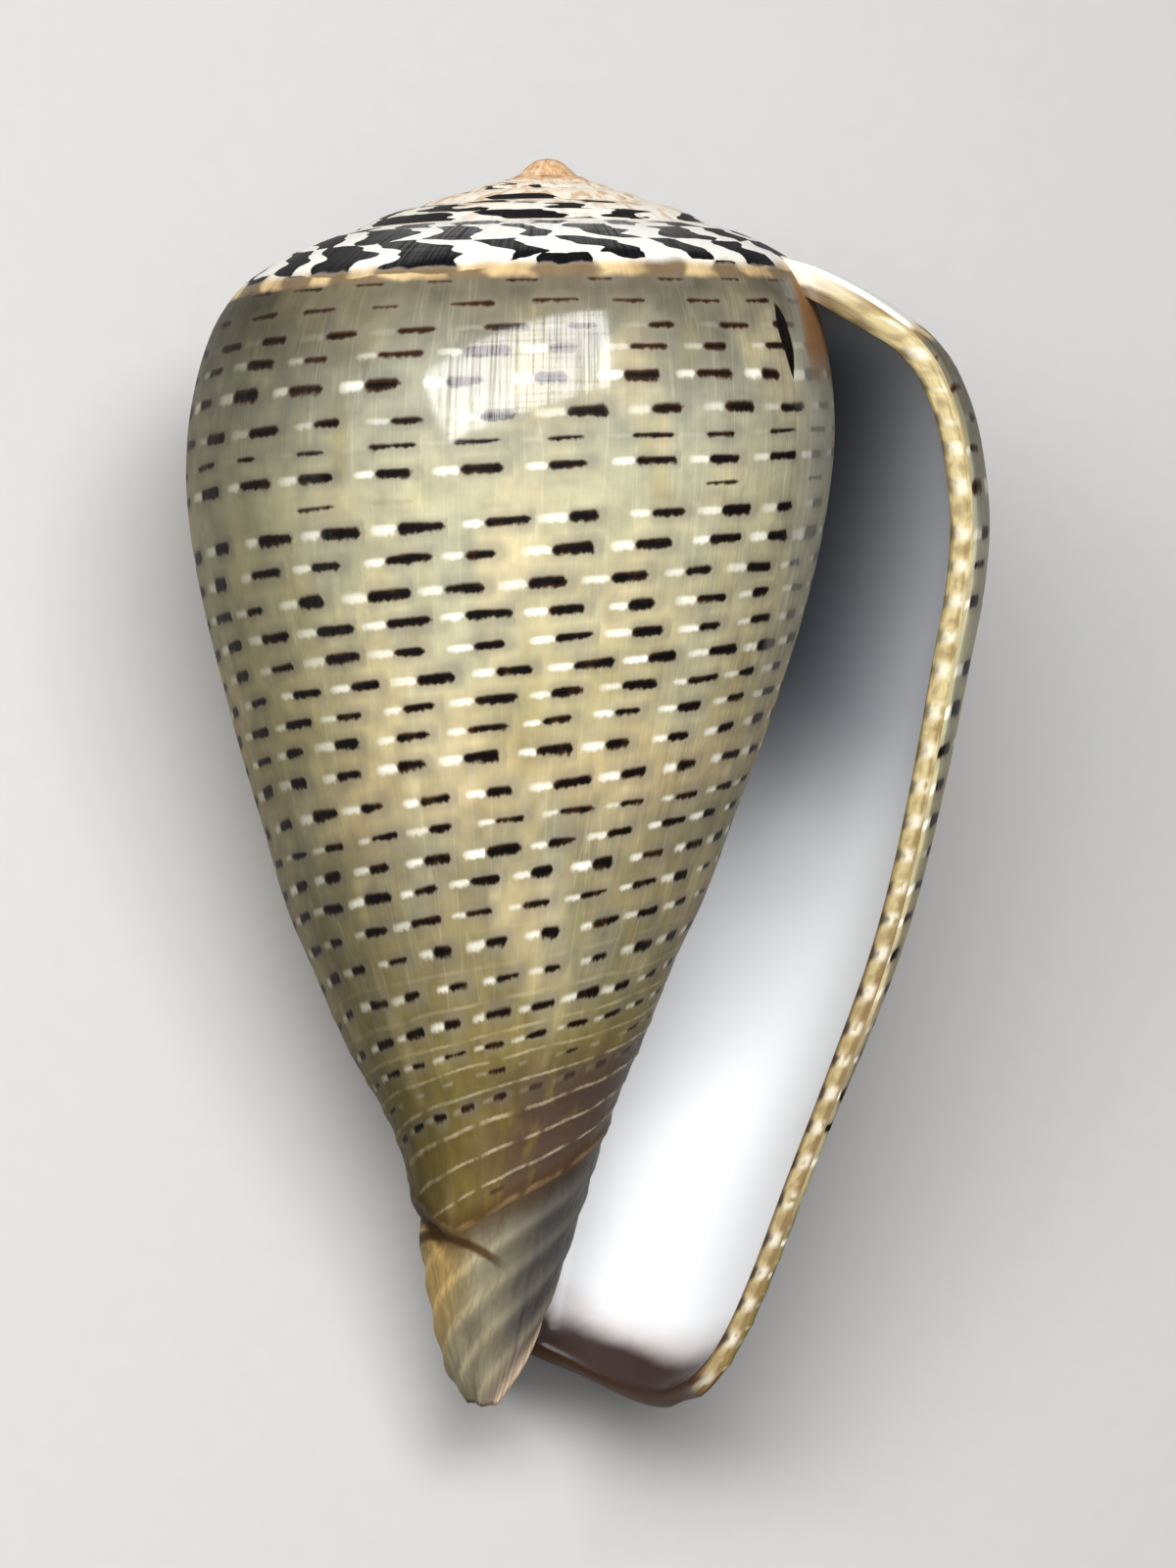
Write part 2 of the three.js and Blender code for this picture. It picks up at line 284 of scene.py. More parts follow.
@dataclass(frozen=True)
class Form:
    """The sheet's shape: where each turn and row lies, in millimetres, in the shell's own frame.

    The sizes are those of the part's solid, to which the threads, scars and sutures are added.

    Attributes:
        shoulder_radius: of the shoulder line at the lip.
        growth: how fast that radius falls back from the lip, as an exponent for each turn.
        lip_angle: where the lip stands round the axis.
        ramp_bulge: how far a ramp swells, as a share of its width.
        bend: how far the front end leans aside, bend_span further down than bend_start.
        lip_thickness: of the wall at the shoulder; base_thickness is that at the front end.
        cavity_top: how many turns the hollow runs back at the shoulder; cavity_base, at the base.
        cavity_closing: the share of that way past which it draws in.
        ramp_ripple: height of the ramps' ripples; seam_depth is the depth of the suture's groove.
        thread_height: of the thin threads between the lines of dashes.
        ridge_height: of the base's broad ridges; ridge_grain is their unevenness.
        crest_height: of the crest over them; crevice_depth is that of the slot beside it.
        scar_turns: where the lip once paused; scar_height and scar_groove give its step.
        swell_height: of the side's slow swells.
        normal_step: the difference in row over which the outline's direction is taken.
        spire: the depth of the spire's shoulder lines, by their radius.
        lip_radius: the side's radius at the lip, by row, as a share of the shoulder's.
        core_radius: the same for the innermost whorls.
        tightness: how fast the one radius gives way to the other, by row, for each turn.
        front_edge: the depth of the front edge, by turn.
    """

    shoulder_radius: float = 14.9
    growth: float = 0.4155
    lip_angle: float = math.radians(-20)
    ramp_bulge: float = 0.06
    bend: float = 1.6
    bend_start: float = 20.0
    bend_span: float = 30.0
    lip_thickness: float = 1.25
    base_thickness: float = 0.85
    cavity_top: float = 0.75
    cavity_base: float = 0.375
    cavity_closing: float = 0.55
    ramp_ripple: float = 0.05
    seam_depth: float = 0.1
    thread_height: float = 0.085
    ridge_height: float = 0.055
    ridge_grain: float = 0.05
    crest_height: float = 0.1
    crevice_depth: float = 0.22
    scar_turns: tuple[float, ...] = (0.23, 0.46)
    scar_height: float = 0.09
    scar_groove: float = 0.06
    swell_height: float = 0.035
    normal_step: float = 0.004

    spire = staticmethod(
        curve(
            [
                (0, 0), (0.5, 0.12), (1.3, 0.75), (2.7, 1.25), (5.1, 2.08), (7.3, 2.95),
                (9.6, 3.85), (11.83, 5.05), (14.9, 6.4),
            ]
        )
    )
    lip_radius = staticmethod(
        curve(
            [
                (0, 1), (0.01, 1.04), (0.036, 1.108), (0.06, 1.145), (0.09, 1.178), (0.14, 1.207),
                (0.19, 1.22), (0.25, 1.208), (0.32, 1.172), (0.43, 1.118), (0.53, 1.062),
                (0.6, 1.012), (0.7, 0.922), (0.8, 0.832), (0.9, 0.745), (0.95, 0.69),
                (0.98, 0.64), (1, 0.585),
            ]
        )
    )
    core_radius = staticmethod(
        curve(
            [
                (0, 1), (0.01, 1.04), (0.036, 1.108), (0.06, 1.145), (0.09, 1.17), (0.14, 1.195),
                (0.2, 1.15), (0.3, 1.0), (0.4, 0.77), (0.5, 0.56), (0.6, 0.46), (0.7, 0.43),
                (0.8, 0.335), (0.9, 0.23), (0.95, 0.165), (0.98, 0.11), (1, 0.03),
            ]
        )
    )
    tightness = staticmethod(
        curve([(0, 0.6), (0.5, 0.7), (0.6, 1.05), (0.7, 2.2), (0.8, 5), (0.9, 5), (1, 4.2)])
    )
    front_edge = staticmethod(
        curve(
            [
                (0, 49.2), (0.05, 50), (0.18, 48.7), (0.26, 47.8), (0.35, 46.6), (0.42, 47),
                (0.5, 48.6), (0.6, 49.7), (0.75, 50), (0.9, 49.8), (1.05, 48.6), (1.2, 47.5),
                (1.36, 46.6), (2.5, 46.6),
            ]
        )
    )

    def shoulder(self, turn: float) -> Profile:
        """Radius and depth of the shoulder line at a turn."""
        radius = self.shoulder_radius * math.exp(-self.growth * turn)
        return radius, self.spire(radius)

    def outline(self, turn: float, row: float) -> Profile:
        """The sheet's outer face, before its relief.

        Args:
            turn: the place's turn.
            row: its row.

        Returns:
            Radius and depth.
        """
        here = self.shoulder(turn)
        if row <= 0:
            before = self.shoulder(turn + 1)
            swell = self.ramp_bulge * (here[0] - before[0]) * -4 * row * (1 + row)
            radius, depth = mix(here, before, -row)
            return radius, depth - swell
        opened = math.exp(-self.tightness(row) * turn)
        radius = here[0] * lerp(self.core_radius(row), self.lip_radius(row), opened)
        return radius, lerp(here[1], self.front_edge(turn), row)

    def pushed(self, turn: float, row: float, out: float) -> Profile:
        """The outline moved along its own normal.

        Args:
            turn: the place's turn.
            row: its row.
            out: how far it is pushed outwards, in mm.

        Returns:
            Radius and depth.
        """
        step = self.normal_step
        low = min(row, 1 - step)
        if -step < low <= 0:
            low = -step
        a = self.outline(turn, low)
        b = self.outline(turn, low + step)
        length = math.hypot(b[0] - a[0], b[1] - a[1])
        face = self.outline(turn, row)
        return (
            face[0] + (b[1] - a[1]) / length * out,
            face[1] - (b[0] - a[0]) / length * out,
        )

    def relief(self, turn: float, row: float) -> float:
        """How far the outer face is raised at a place, in mm."""
        return self.ramp_relief(turn, row) if row <= 0 else self.side_relief(turn, row)

    def ramp_relief(self, turn: float, row: float) -> float:
        """The relief of a whorl's ramp: faint ripples, and a groove along the suture.

        Args:
            turn: the place's turn.
            row: its row, from -1 to 0.

        Returns:
            The height, in mm.
        """
        fade = smooth(0, 0.12, -row) * smooth(0, 0.12, 1 + row)
        ripple = self.ramp_ripple * wobble(turn * 9, row * 0.8, 3.1)
        seam = self.seam_depth * bump(-0.94, 0.06, row) * smooth(0, 0.03, 1 + row)
        return fade * ripple - seam * min(1.0, math.exp(-0.3 * (turn - 0.5)))

    def side_relief(self, turn: float, row: float) -> float:
        """The relief of the side: threads, the base's ridges, scars and slow swells.

        Args:
            turn: the place's turn.
            row: its row, from 0 to 1.

        Returns:
            The height, in mm.
        """
        depth = self.outline(turn, row)[1]
        number = line_number(line_depth(turn, depth))
        past = number - crest_line(turn)
        height = self.threads(turn, number, past) + self.ridges(turn, number, past)
        height += self.scars(turn, depth)
        height += self.swell_height * wobble(turn * 16, depth * 0.04, 1.7)
        return height * smooth(0, 0.05, row)

    def threads(self, turn: float, number: float, past: float) -> float:
        """The height of the thin threads between the lines of dashes.

        Args:
            turn: the place's turn.
            number: its line number.
            past: how many lines it lies below the crest.

        Returns:
            The height, in mm.
        """
        patchy = 0.65 + 0.5 * wobble(turn * 40, math.floor(number) * 2.3, 0)
        strength = smooth(FIRST_THREAD - 1, FIRST_THREAD + 5, number) * smooth(0.3, -0.3, past)
        beside = bump(0.1, 0.11, number % 1) + bump(1.1, 0.11, number % 1)
        return self.thread_height * strength * patchy * beside

    def ridges(self, turn: float, number: float, past: float) -> float:
        """The height of the base's broad ridges, and of the crest and crevice that bound them.

        Args:
            turn: the place's turn.
            number: its line number.
            past: how many lines it lies below the crest.

        Returns:
            The height, in mm.
        """
        ridged = smooth(0.2, 1.2, past)
        height = self.ridge_height * ridged * math.cos(TURN * (number - 0.15))
        height += self.ridge_grain * ridged * wobble(turn * 60, number * 0.7, 5)
        ragged = 0.8 + 0.5 * wobble(turn * 50, 1, 1)
        height += self.crest_height * bump(0, 0.22, past) * ragged
        opened = 1 - smooth(0.64, 0.74, turn)
        return height - self.crevice_depth * bump(0.55, 0.3, past) * opened

    def scars(self, turn: float, depth: float) -> float:
        """The height of the scars, where the lip once paused in its growth.

        Args:
            turn: the place's turn.
            depth: its depth below the tip, in mm.

        Returns:
            The height, in mm.
        """
        wander = 0.006 * math.sin(depth * 0.35) + 0.01 * wobble(depth * 0.12, 8, 0)
        fall = 0.02 * smooth(30, 46, depth)
        height = 0.0
        for scar in self.scar_turns:
            away = turn - scar - wander - fall
            height += self.scar_height * bump(0, 0.0035, away)
            height -= self.scar_groove * bump(0.007, 0.004, away)
        return height

    def face(self, turn: float, row: float) -> Profile:
        """Radius and depth of the finished outer face."""
        return self.pushed(turn, row, self.relief(turn, row))

    def lining(self, turn: float, row: float) -> Profile:
        """Radius and depth of the inner face, one wall thickness further in."""
        return self.pushed(turn, row, -lerp(self.lip_thickness, self.base_thickness, max(row, 0)))

    def hollow(self, row: float) -> float:
        """How many turns the hollow runs back from the lip at a side row."""
        return lerp(self.cavity_top, self.cavity_base, smooth(0.1, 0.9, row))

    def place(self, point: Profile, turn: float) -> Vector:
        """Puts a profile point in space, with the front end's lean.

        Args:
            point: radius and depth.
            turn: its turn.

        Returns:
            The point, in the shell's own frame, in mm.
        """
        radius, depth = point
        angle = self.lip_angle + TURN * turn
        lean = self.bend * (max(depth - self.bend_start, 0) / self.bend_span) ** 2
        return Vector((radius * math.cos(angle) - lean, radius * math.sin(angle), -depth))


class Surface(Enum):
    """The shell's surfaces, each with a finish of its own."""

    OUTSIDE = 0
    LINING = 1
    RIM = 2


@dataclass(frozen=True)
class Mark:
    """What a vertex of a patch knows of its place, for the finishes.

    Attributes:
        growth: (turn, row).
        lines: (dash column, dash line number).
        spread: (mm round the shell, nominal depth in mm).
        level: (0 at the suture to 1 at the shoulder line and on at the same scale, radius in mm).
    """

    growth: tuple[float, float]
    lines: tuple[float, float]
    spread: tuple[float, float]
    level: tuple[float, float] = (9.0, 9.0)


Vertex = tuple[Vector, Mark]
PatchPoint = Callable[[int, int], Vertex]


@dataclass
class Shell:
    """The whole shell as one piece of mesh.

    Attributes:
        form: the sheet's shape.
        around: the number of columns in a turn.
        ramp_rows: the number of rows in a ramp.
        join_rows: that under the shoulder line, down to join_row.
        top_rows: that from there down to top_row.
        middle_rows: that from there down to base_row, where the threads begin to need more.
        base_rows: that from there down to row_end, the front edge.
        ceiling_rows: the number of rows in the hollow's ceiling.
        apex_turn: the turn at which the spiral begins to close in.
        apex_rings: the number of rings in the spire's closed tip.
        rim_steps: the number of steps across the rounded rim.
        rim_back_steps: those of them that take the outside's finish.
        rim_back_turn: how far the lines of dashes run on over the rim in each step, in turns.
        glazed_columns: the columns of the pillar before the lining covers it.
        front_columns: the columns from the lip to the end of the hollow.
        start_fade: the share of the columns over which they draw back from the lip's edge.
        rim_bulge: how far the rim reaches past the faces, as a share of the wall.
        rim_taper: the steps over which that reach grows at the suture.
        front_taper: the steps over which it dies away at the rim's other end.
        corner_rows: the rows over which the rim turns towards the front edge.
        corner_columns: the columns over which it ends that turn.
        apex_blend: the share of a turn over which the spire's tip parts from the ramp before.
        tip_blend: the share of a turn over which the pillar's tip parts from the rim.
    """

    form: Form
    around: int = 240
    ramp_rows: int = 8
    join_rows: int = 6
    join_row: float = 0.035
    top_rows: int = 12
    top_row: float = 0.14
    middle_rows: int = 62
    base_row: float = 0.68
    base_rows: int = 76
    row_end: float = 0.996
    ceiling_rows: int = 6
    apex_turn: int = 5
    apex_rings: int = 12
    rim_steps: int = 8
    rim_back_steps: int = 2
    rim_back_turn: float = 0.005
    glazed_columns: int = 14
    front_columns: int = 90
    start_fade: float = 0.1
    rim_bulge: float = 0.24
    rim_taper: float = 7.0
    front_taper: float = 10.0
    corner_rows: int = 14
    corner_columns: int = 8
    apex_blend: float = 0.2
    tip_blend: float = 0.25

    def __post_init__(self) -> None:
        """Works out the rows of the side, closest where the profile curves or carries threads."""
        stretches = (
            (0.0, self.join_row, self.join_rows),
            (self.join_row, self.top_row, self.top_rows),
            (self.top_row, self.base_row, self.middle_rows),
            (self.base_row, self.row_end, self.base_rows),
        )
        self.rows = [i / self.ramp_rows - 1 for i in range(self.ramp_rows)]
        for low, high, count in stretches:
            self.rows += [lerp(low, high, i / count) for i in range(count)]
        self.rows.append(self.row_end)
        self.inner_rows = self.rows[self.ramp_rows + self.join_rows :]
        self.down = len(self.rows) - 1
        self.inner_down = len(self.inner_rows) - 1

    def mark(self, turn: float, row: float, point: Profile) -> Mark:
        """The mark of a place on the sheet.

        Args:
            turn: the place's turn.
            row: its row.
            point: its radius and depth.

        Returns:
            The mark.
        """
        radius, depth = point
        nominal = line_depth(turn, depth)
        level = 1 + row * (SIDE_LEVELS if row > 0 else 1)
        return Mark(
            (turn, row),
            (turn * CELLS, line_number(nominal)),
            (turn * WIDE, nominal),
            (level, radius),
        )

    def rim_reach(self, row: float) -> float:
        """How far the rounded rim reaches past the faces, in mm."""
        return self.rim_bulge * lerp(self.form.lip_thickness, self.form.base_thickness, max(row, 0))

    def start(self, row: float) -> float:
        """The turn at which the faces end and the rounded lip begins."""
        radius = self.form.outline(0, row)[0]
        return self.rim_reach(row) / (TURN * radius)

    def moved_back(self, turn: float, share: float, row: float) -> float:
        """The turn moved back from the lip's rounded edge, less and less further in."""
        return turn + self.start(row) * max(0.0, 1 - share / self.start_fade)

    def outer_turn(self, column: int, row: float) -> float:
        """The turn of an outer column."""
        share = column / self.around
        return share if row == -1 else self.moved_back(share, share, row)

    def on_face(self, turn: float, row: float) -> Vertex:
        """A vertex of the finished outer face."""
        point = self.form.face(turn, row)
        return self.form.place(point, turn), self.mark(turn, row, point)

    def outer(self, column: int, index: int) -> Vertex:
        """A vertex of the last whorl's ramp and side."""
        row = self.rows[index]
        return self.on_face(self.outer_turn(column, row), row)

    def whorl(self, column: int, index: int) -> Vertex:
        """A vertex of the ramps of the whorls before the last."""
        return self.on_face(1 + column / self.around, self.rows[index])

    def apex(self, column: int, index: int) -> Vertex:
        """A vertex of the spire's tip, which closes the spiral in over one turn.

        Args:
            column: the step round the tip.
            index: the step from the shoulder line in to the middle.

        Returns:
            The vertex.
        """
        share = column / self.around
        turn = self.apex_turn + share
        end = self.form.shoulder(self.apex_turn + 1)
        if index <= self.ramp_rows:
            row = -index / self.ramp_rows
            strip = self.form.face(self.apex_turn, row)
            own = mix(self.form.shoulder(turn), end, -row)
            radius = lerp(strip[0], own[0], share) if share else strip[0]
            depth = lerp(strip[1], self.form.spire(radius), smooth(0, self.apex_blend, share))
            if share == 1 or index == self.ramp_rows:
                radius, depth = end
            elif index == 0:
                radius, depth = self.form.shoulder(turn)
        else:
            left = 1 - (index - self.ramp_rows) / self.apex_rings
            radius = end[0] * left
            depth = self.form.spire(radius)
        row = -min(index / self.ramp_rows, 1.0)
        return self.form.place((radius, depth), turn), self.mark(turn, row, (radius, depth))

    def pillar(self, column: int, index: int) -> Vertex:
        """A vertex of the pillar side of the hollow: the whorl before, seen past the lip."""
        row = self.inner_rows[index]
        return self.on_face(1 + self.form.hollow(row) * column / self.front_columns, row)

    def deep_pillar(self, column: int, index: int) -> Vertex:
        """A vertex of the pillar further in, where the lining covers it."""
        return self.pillar(column + self.glazed_columns, index)

    def lining(self, column: int, index: int) -> Vertex:
        """A vertex of the lining, which draws in to the pillar at the end of the hollow.

        Args:
            column: the step back from the lip.
            index: the step down from the hollow's ceiling.

        Returns:
            The vertex.
        """
        row = self.inner_rows[index]
        share = column / self.front_columns
        turn = self.form.hollow(row) * share
        if index:
            turn = self.moved_back(turn, share, row)
        before = self.form.face(turn + 1, row)
        if index <= self.ceiling_rows:
            edge = self.form.face(turn + 1, self.inner_rows[0])
            point = mix(edge, self.form.lining(turn, 0), index / self.ceiling_rows)
        else:
            top = self.inner_rows[self.ceiling_rows]
            down = (row - top) / (self.row_end - top)
            point = self.form.lining(turn, down * self.row_end)
        closing = smooth(self.form.cavity_closing, 1, share)
        point = mix(point, before, closing) if index else before
        mark = Mark((turn, row), (turn * CELLS, 0.0), (turn * WIDE, point[1]))
        return self.form.place(point, turn), mark

    def rim_ends(self, index: int) -> tuple[Vector, Vector, Vector, float]:
        """One cross-section of the rounded rim, from the suture down the lip and along the front.

        Args:
            index: the step along the rim.

        Returns:
            Its outer point, its inner point, how far and where to its middle reaches past them,
            and the share of the way along the rim.
        """
        if index <= self.down:
            outer = self.outer(0, index)[0]
            if index <= self.ramp_rows:
                inner_index = round(index / self.ramp_rows * self.ceiling_rows)
            else:
                left = (index - self.ramp_rows) / (self.down - self.ramp_rows)
                inner_index = self.ceiling_rows + round(left * (self.inner_down - self.ceiling_rows))
            inner = self.lining(0, inner_index)[0]
            row = self.rows[index]
            angle = self.form.lip_angle
            forward = Vector((math.sin(angle), -math.cos(angle), 0))
            turned = smooth(self.down - self.corner_rows, self.down, index)
            forward = (forward * (1 - 0.5 * turned) + Vector((0, 0, -0.5)) * turned).normalized()
        else:
            column = index - self.down
            outer = self.outer(column, self.down)[0]
            inner = self.lining(column, self.inner_down)[0]
            row = self.row_end
            angle = self.form.lip_angle + TURN * column / self.around
            back = Vector((math.sin(angle), -math.cos(angle), 0))
            turned = 1 - smooth(0, self.corner_columns, column)
            forward = (Vector((0, 0, -1)) * (1 - 0.5 * turned) + back * 0.5 * turned).normalized()
        ends = self.down + self.front_columns
        taper = smooth(-0.5, self.rim_taper, index) * smooth(-0.5, self.front_taper, ends - index)
        return outer, inner, forward * (self.rim_reach(row) * taper), index / ends

    def rim_back(self, index: int, step: int) -> Vertex:
        """A vertex of the rim's outer part, over which the lines of dashes run on.

        Args:
            index: the step along the rim.
            step: the step across it, from the outside.

        Returns:
            The vertex.
        """
        point, _ = self.rim(index, step)
        if index <= self.down:
            row = self.rows[index]
            turn = self.outer_turn(0, row) - self.rim_back_turn * step
        else:
            row = self.row_end
            turn = (index - self.down) / self.around
        return point, self.mark(turn, row, self.form.outline(turn, row))

    def rim_front(self, index: int, step: int) -> Vertex:
        """A vertex of the rim's pale front part."""
        return self.rim(index, step + self.rim_back_steps)

    def rim(self, index: int, step: int) -> Vertex:
        """A vertex of the rounded rim round the mouth.

        Args:
            index: the step along the rim, from the suture.
            step: the step across it, from the outside.

        Returns:
            The vertex.
        """
        outer, inner, reach, share = self.rim_ends(index)
        if index == 0:
            point = self.outer(self.around, self.ramp_rows + min(step, self.join_rows))[0]
        elif step in (0, self.rim_steps):
            point = outer if step == 0 else inner
        else:
            angle = math.pi * step / self.rim_steps
            middle = (outer + inner) / 2
            point = middle + (outer - inner) / 2 * math.cos(angle) + reach * math.sin(angle)
        depth = -point.z
        across = step / self.rim_steps
        lines = (0.0, line_number(line_depth(0, depth)))
        return point, Mark((across, share), lines, (depth, across))

    def tip(self, column: int, index: int) -> Vertex:
        """A vertex of the pillar's tip, which closes the front edge in over one turn.

        Args:
            column: the step round the tip.
            index: the step across it, from its edge.

        Returns:
            The vertex.
        """
        outside = self.around - self.front_columns
        if column <= outside:
            edge, mark = self.outer(self.front_columns + column, self.down)
        else:
            edge, mark = self.pillar(column - outside, self.inner_down)
        share = column / self.around
        inner = self.pillar(self.front_columns, self.inner_down)[0]
        last = self.rim(self.down + self.front_columns, index)[0]
        own = edge.lerp(inner, index / self.rim_steps)
        point = last.lerp(own, smooth(0, self.tip_blend, share))
        if column == self.around or index == self.rim_steps:
            point = inner
        elif index == 0:
            point = edge
        return point, mark

    def build(self) -> bpy.types.Object:
        """Makes the shell's mesh and its maps.

        Returns:
            The finished object, at the origin, in metres.
        """
        mesh = bmesh.new()
        pen = Pen(mesh)
        older_columns = (self.apex_turn - 1) * self.around
        deep_columns = self.front_columns - self.glazed_columns
        rim_length = self.down + self.front_columns
        rim_front_steps = self.rim_steps - self.rim_back_steps
        patches = (
            (self.around, self.down, self.outer, Surface.OUTSIDE),
            (older_columns, self.ramp_rows, self.whorl, Surface.OUTSIDE),
            (self.around, self.ramp_rows + self.apex_rings, self.apex, Surface.OUTSIDE),
            (self.glazed_columns, self.inner_down, self.pillar, Surface.OUTSIDE),
            (deep_columns, self.inner_down, self.deep_pillar, Surface.LINING),
            (self.front_columns, self.inner_down, self.lining, Surface.LINING),
            (rim_length, self.rim_back_steps, self.rim_back, Surface.OUTSIDE),
            (rim_length, rim_front_steps, self.rim_front, Surface.RIM),
            (self.around, self.rim_steps, self.tip, Surface.OUTSIDE),
        )
        for patch in patches:
            pen.patch(*patch)
        bmesh.ops.remove_doubles(mesh, verts=mesh.verts, dist=MERGED)
        bmesh.ops.recalc_face_normals(mesh, faces=mesh.faces)
        settle(mesh)
        data = mesh_data("shell", mesh)
        for polygon in data.polygons:
            polygon.use_smooth = True
        return add_object("cone_shell", data)


class Pen:
    """Draws patches into one mesh and writes their marks to its UV maps."""

    def __init__(self, mesh: bmesh.types.BMesh) -> None:
        """Adds the UV maps to an empty mesh.

        Args:
            mesh: the mesh to draw into.
        """
        self.mesh = mesh
        names = [field.name for field in fields(Mark)]
        self.maps = {name: mesh.loops.layers.uv.new(name) for name in names}

    def patch(self, columns: int, rows: int, point: PatchPoint, surface: Surface) -> None:
        """Adds a grid of faces.

        Args:
            columns: the number of faces along it.
            rows: the number of faces across it.
            point: the function from a column and row to the vertex's place and mark.
            surface: which finish the faces take.
        """
        made = bmesh.ops.create_grid(
            self.mesh,
            x_segments=columns,
            y_segments=rows,
            size=0.5,
            matrix=Matrix.Translation((0.5, 0.5, 0)),
        )
        marks: dict[bmesh.types.BMVert, Mark] = {}
        faces: dict[bmesh.types.BMFace, None] = {}
        for vertex in made["verts"]:
            i = round(vertex.co.x * columns)
            j = round(vertex.co.y * rows)
            vertex.co, marks[vertex] = point(i, j)
            faces.update(dict.fromkeys(vertex.link_faces))
        for face in faces:
            face.material_index = surface.value
            for loop in face.loops:
                for name, layer in self.maps.items():
                    loop[layer].uv = getattr(marks[loop.vert], name)


NOSE_DOWN = math.radians(15.2)
ROLL = math.radians(-20)
POSE = Matrix.Rotation(NOSE_DOWN, 3, "X") @ Matrix.Rotation(-math.pi / 2, 3, "X")
POSE = POSE @ Matrix.Rotation(ROLL, 3, "Z")


def settle(mesh: bmesh.types.BMesh) -> None:
    """Lays the shell on its back inside the solid's box and wears the flat on which it rests.

    Args:
        mesh: the shell in its own frame, in mm; it is left in the part's frame, in metres.
    """
    bmesh.ops.rotate(mesh, verts=mesh.verts, cent=(0, 0, 0), matrix=POSE)
    low = [min(vertex.co[axis] for vertex in mesh.verts) for axis in range(3)]
    high = [max(vertex.co[axis] for vertex in mesh.verts) for axis in range(3)]
    wanted_low, wanted_high = Vector(CAD_BOX[0]), Vector(CAD_BOX[1])
    scale = min((wanted_high[axis] - wanted_low[axis]) / (high[axis] - low[axis]) for axis in (0, 1))
    bmesh.ops.scale(mesh, verts=mesh.verts, vec=(scale, scale, scale))
    middle = [scale * (low[axis] + high[axis]) / 2 for axis in range(3)]
    shift = Vector(
        (
            (wanted_low.x + wanted_high.x) / 2 - middle[0],
            (wanted_low.y + wanted_high.y) / 2 - middle[1],
            wanted_high.z - scale * high[2],
        )
    )
    bmesh.ops.translate(mesh, verts=mesh.verts, vec=shift)
    for vertex in mesh.verts:
        vertex.co.z = max(vertex.co.z, 0.0)


# Finishes -----------------------------------------------------------------------------------


Number = float | int
Colour = tuple[float, float, float]
Stops = tuple[tuple[float, Colour], ...]


@dataclass(frozen=True)
class Value:
    """A number that varies over a surface: a socket on which Python's operators add nodes."""

    graph: Graph
    socket: bpy.types.NodeSocket

    def math(self, operation: str, *others: Value | Number) -> Value:
        """This value and others through a Math node."""
        return self.graph.math(operation, self, *others)

    def __add__(self, other: Value | Number) -> Value:
        """self + other."""
        return self.math("ADD", other)

    __radd__ = __add__

    def __mul__(self, other: Value | Number) -> Value:
        """self * other."""
        return self.math("MULTIPLY", other)

    __rmul__ = __mul__

    def __sub__(self, other: Value | Number) -> Value:
        """self - other."""
        return self.math("SUBTRACT", other)

    def __rsub__(self, other: Number) -> Value:
        """other - self."""
        return self.graph.math("SUBTRACT", other, self)

    def __truediv__(self, other: Value | Number) -> Value:
        """self / other."""
        return self.math("DIVIDE", other)

    def __pow__(self, other: Number) -> Value:
        """self ** other."""
        return self.math("POWER", other)

    def __abs__(self) -> Value:
        """The size of self."""
        return self.math("ABSOLUTE")

    def least(self, other: Value | Number) -> Value:
        """The smaller of self and other."""
        return self.math("MINIMUM", other)

    def most(self, other: Value | Number) -> Value:
        """The larger of self and other."""
        return self.math("MAXIMUM", other)

    def floor(self) -> Value:
        """self rounded down."""
        return self.math("FLOOR")

    def sway(self, amount: float) -> Value:
        """How far self is from a half, times an amount."""
        return (self - 0.5) * amount

    def above(self, low: float, high: float) -> Value:
        """An S-curve over self.

        Args:
            low: where it is 0.
            high: where it is 1, which may be the smaller.

        Returns:
            The curve's value.
        """
        if low > high:
            return 1 - self.above(high, low)
        settings = {"interpolation_type": "SMOOTHSTEP", "clamp": True}
        inputs = {"Value": self, "From Min": low, "From Max": high}
        return self.graph.value("ShaderNodeMapRange", "Result", settings, inputs)

    def near(self, middle: float, inner: float, outer: float) -> Value:
        """1 within inner of the middle, 0 beyond outer of it."""
        return abs(self - middle).above(outer, inner)


def outside_box(x: Value, y: Value, radius: float) -> Value:
    """The distance outside a box with rounded corners.

    Args:
        x: the distance outside its ends, less than 0 within them.
        y: the distance outside its other two sides.
        radius: of its corners.

    Returns:
        The distance, less than 0 inside the box.
    """
    over_x = (x + radius).most(0.0)
    over_y = (y + radius).most(0.0)
    inner = (x + radius).most(y + radius).least(0.0)
    return (over_x * over_x + over_y * over_y) ** 0.5 + inner - radius


@dataclass(frozen=True)
class Spot:
    """A place on the surface, as a finish reads it from the marks.

    Attributes:
        turn: counted back from the lip.
        row: -1 at the suture, 0 at the shoulder line, 1 at the front end.
        column: the dash column.
        line: the dash line number.
        along: the distance round the shell, in mm.
        depth: the nominal depth, in mm.
        level: 0 at the suture, 1 at the shoulder line, and more below it.
        radius: from the axis, in mm.
    """

    turn: Value
    row: Value
    column: Value
    line: Value
    along: Value
    depth: Value
    level: Value
    radius: Value


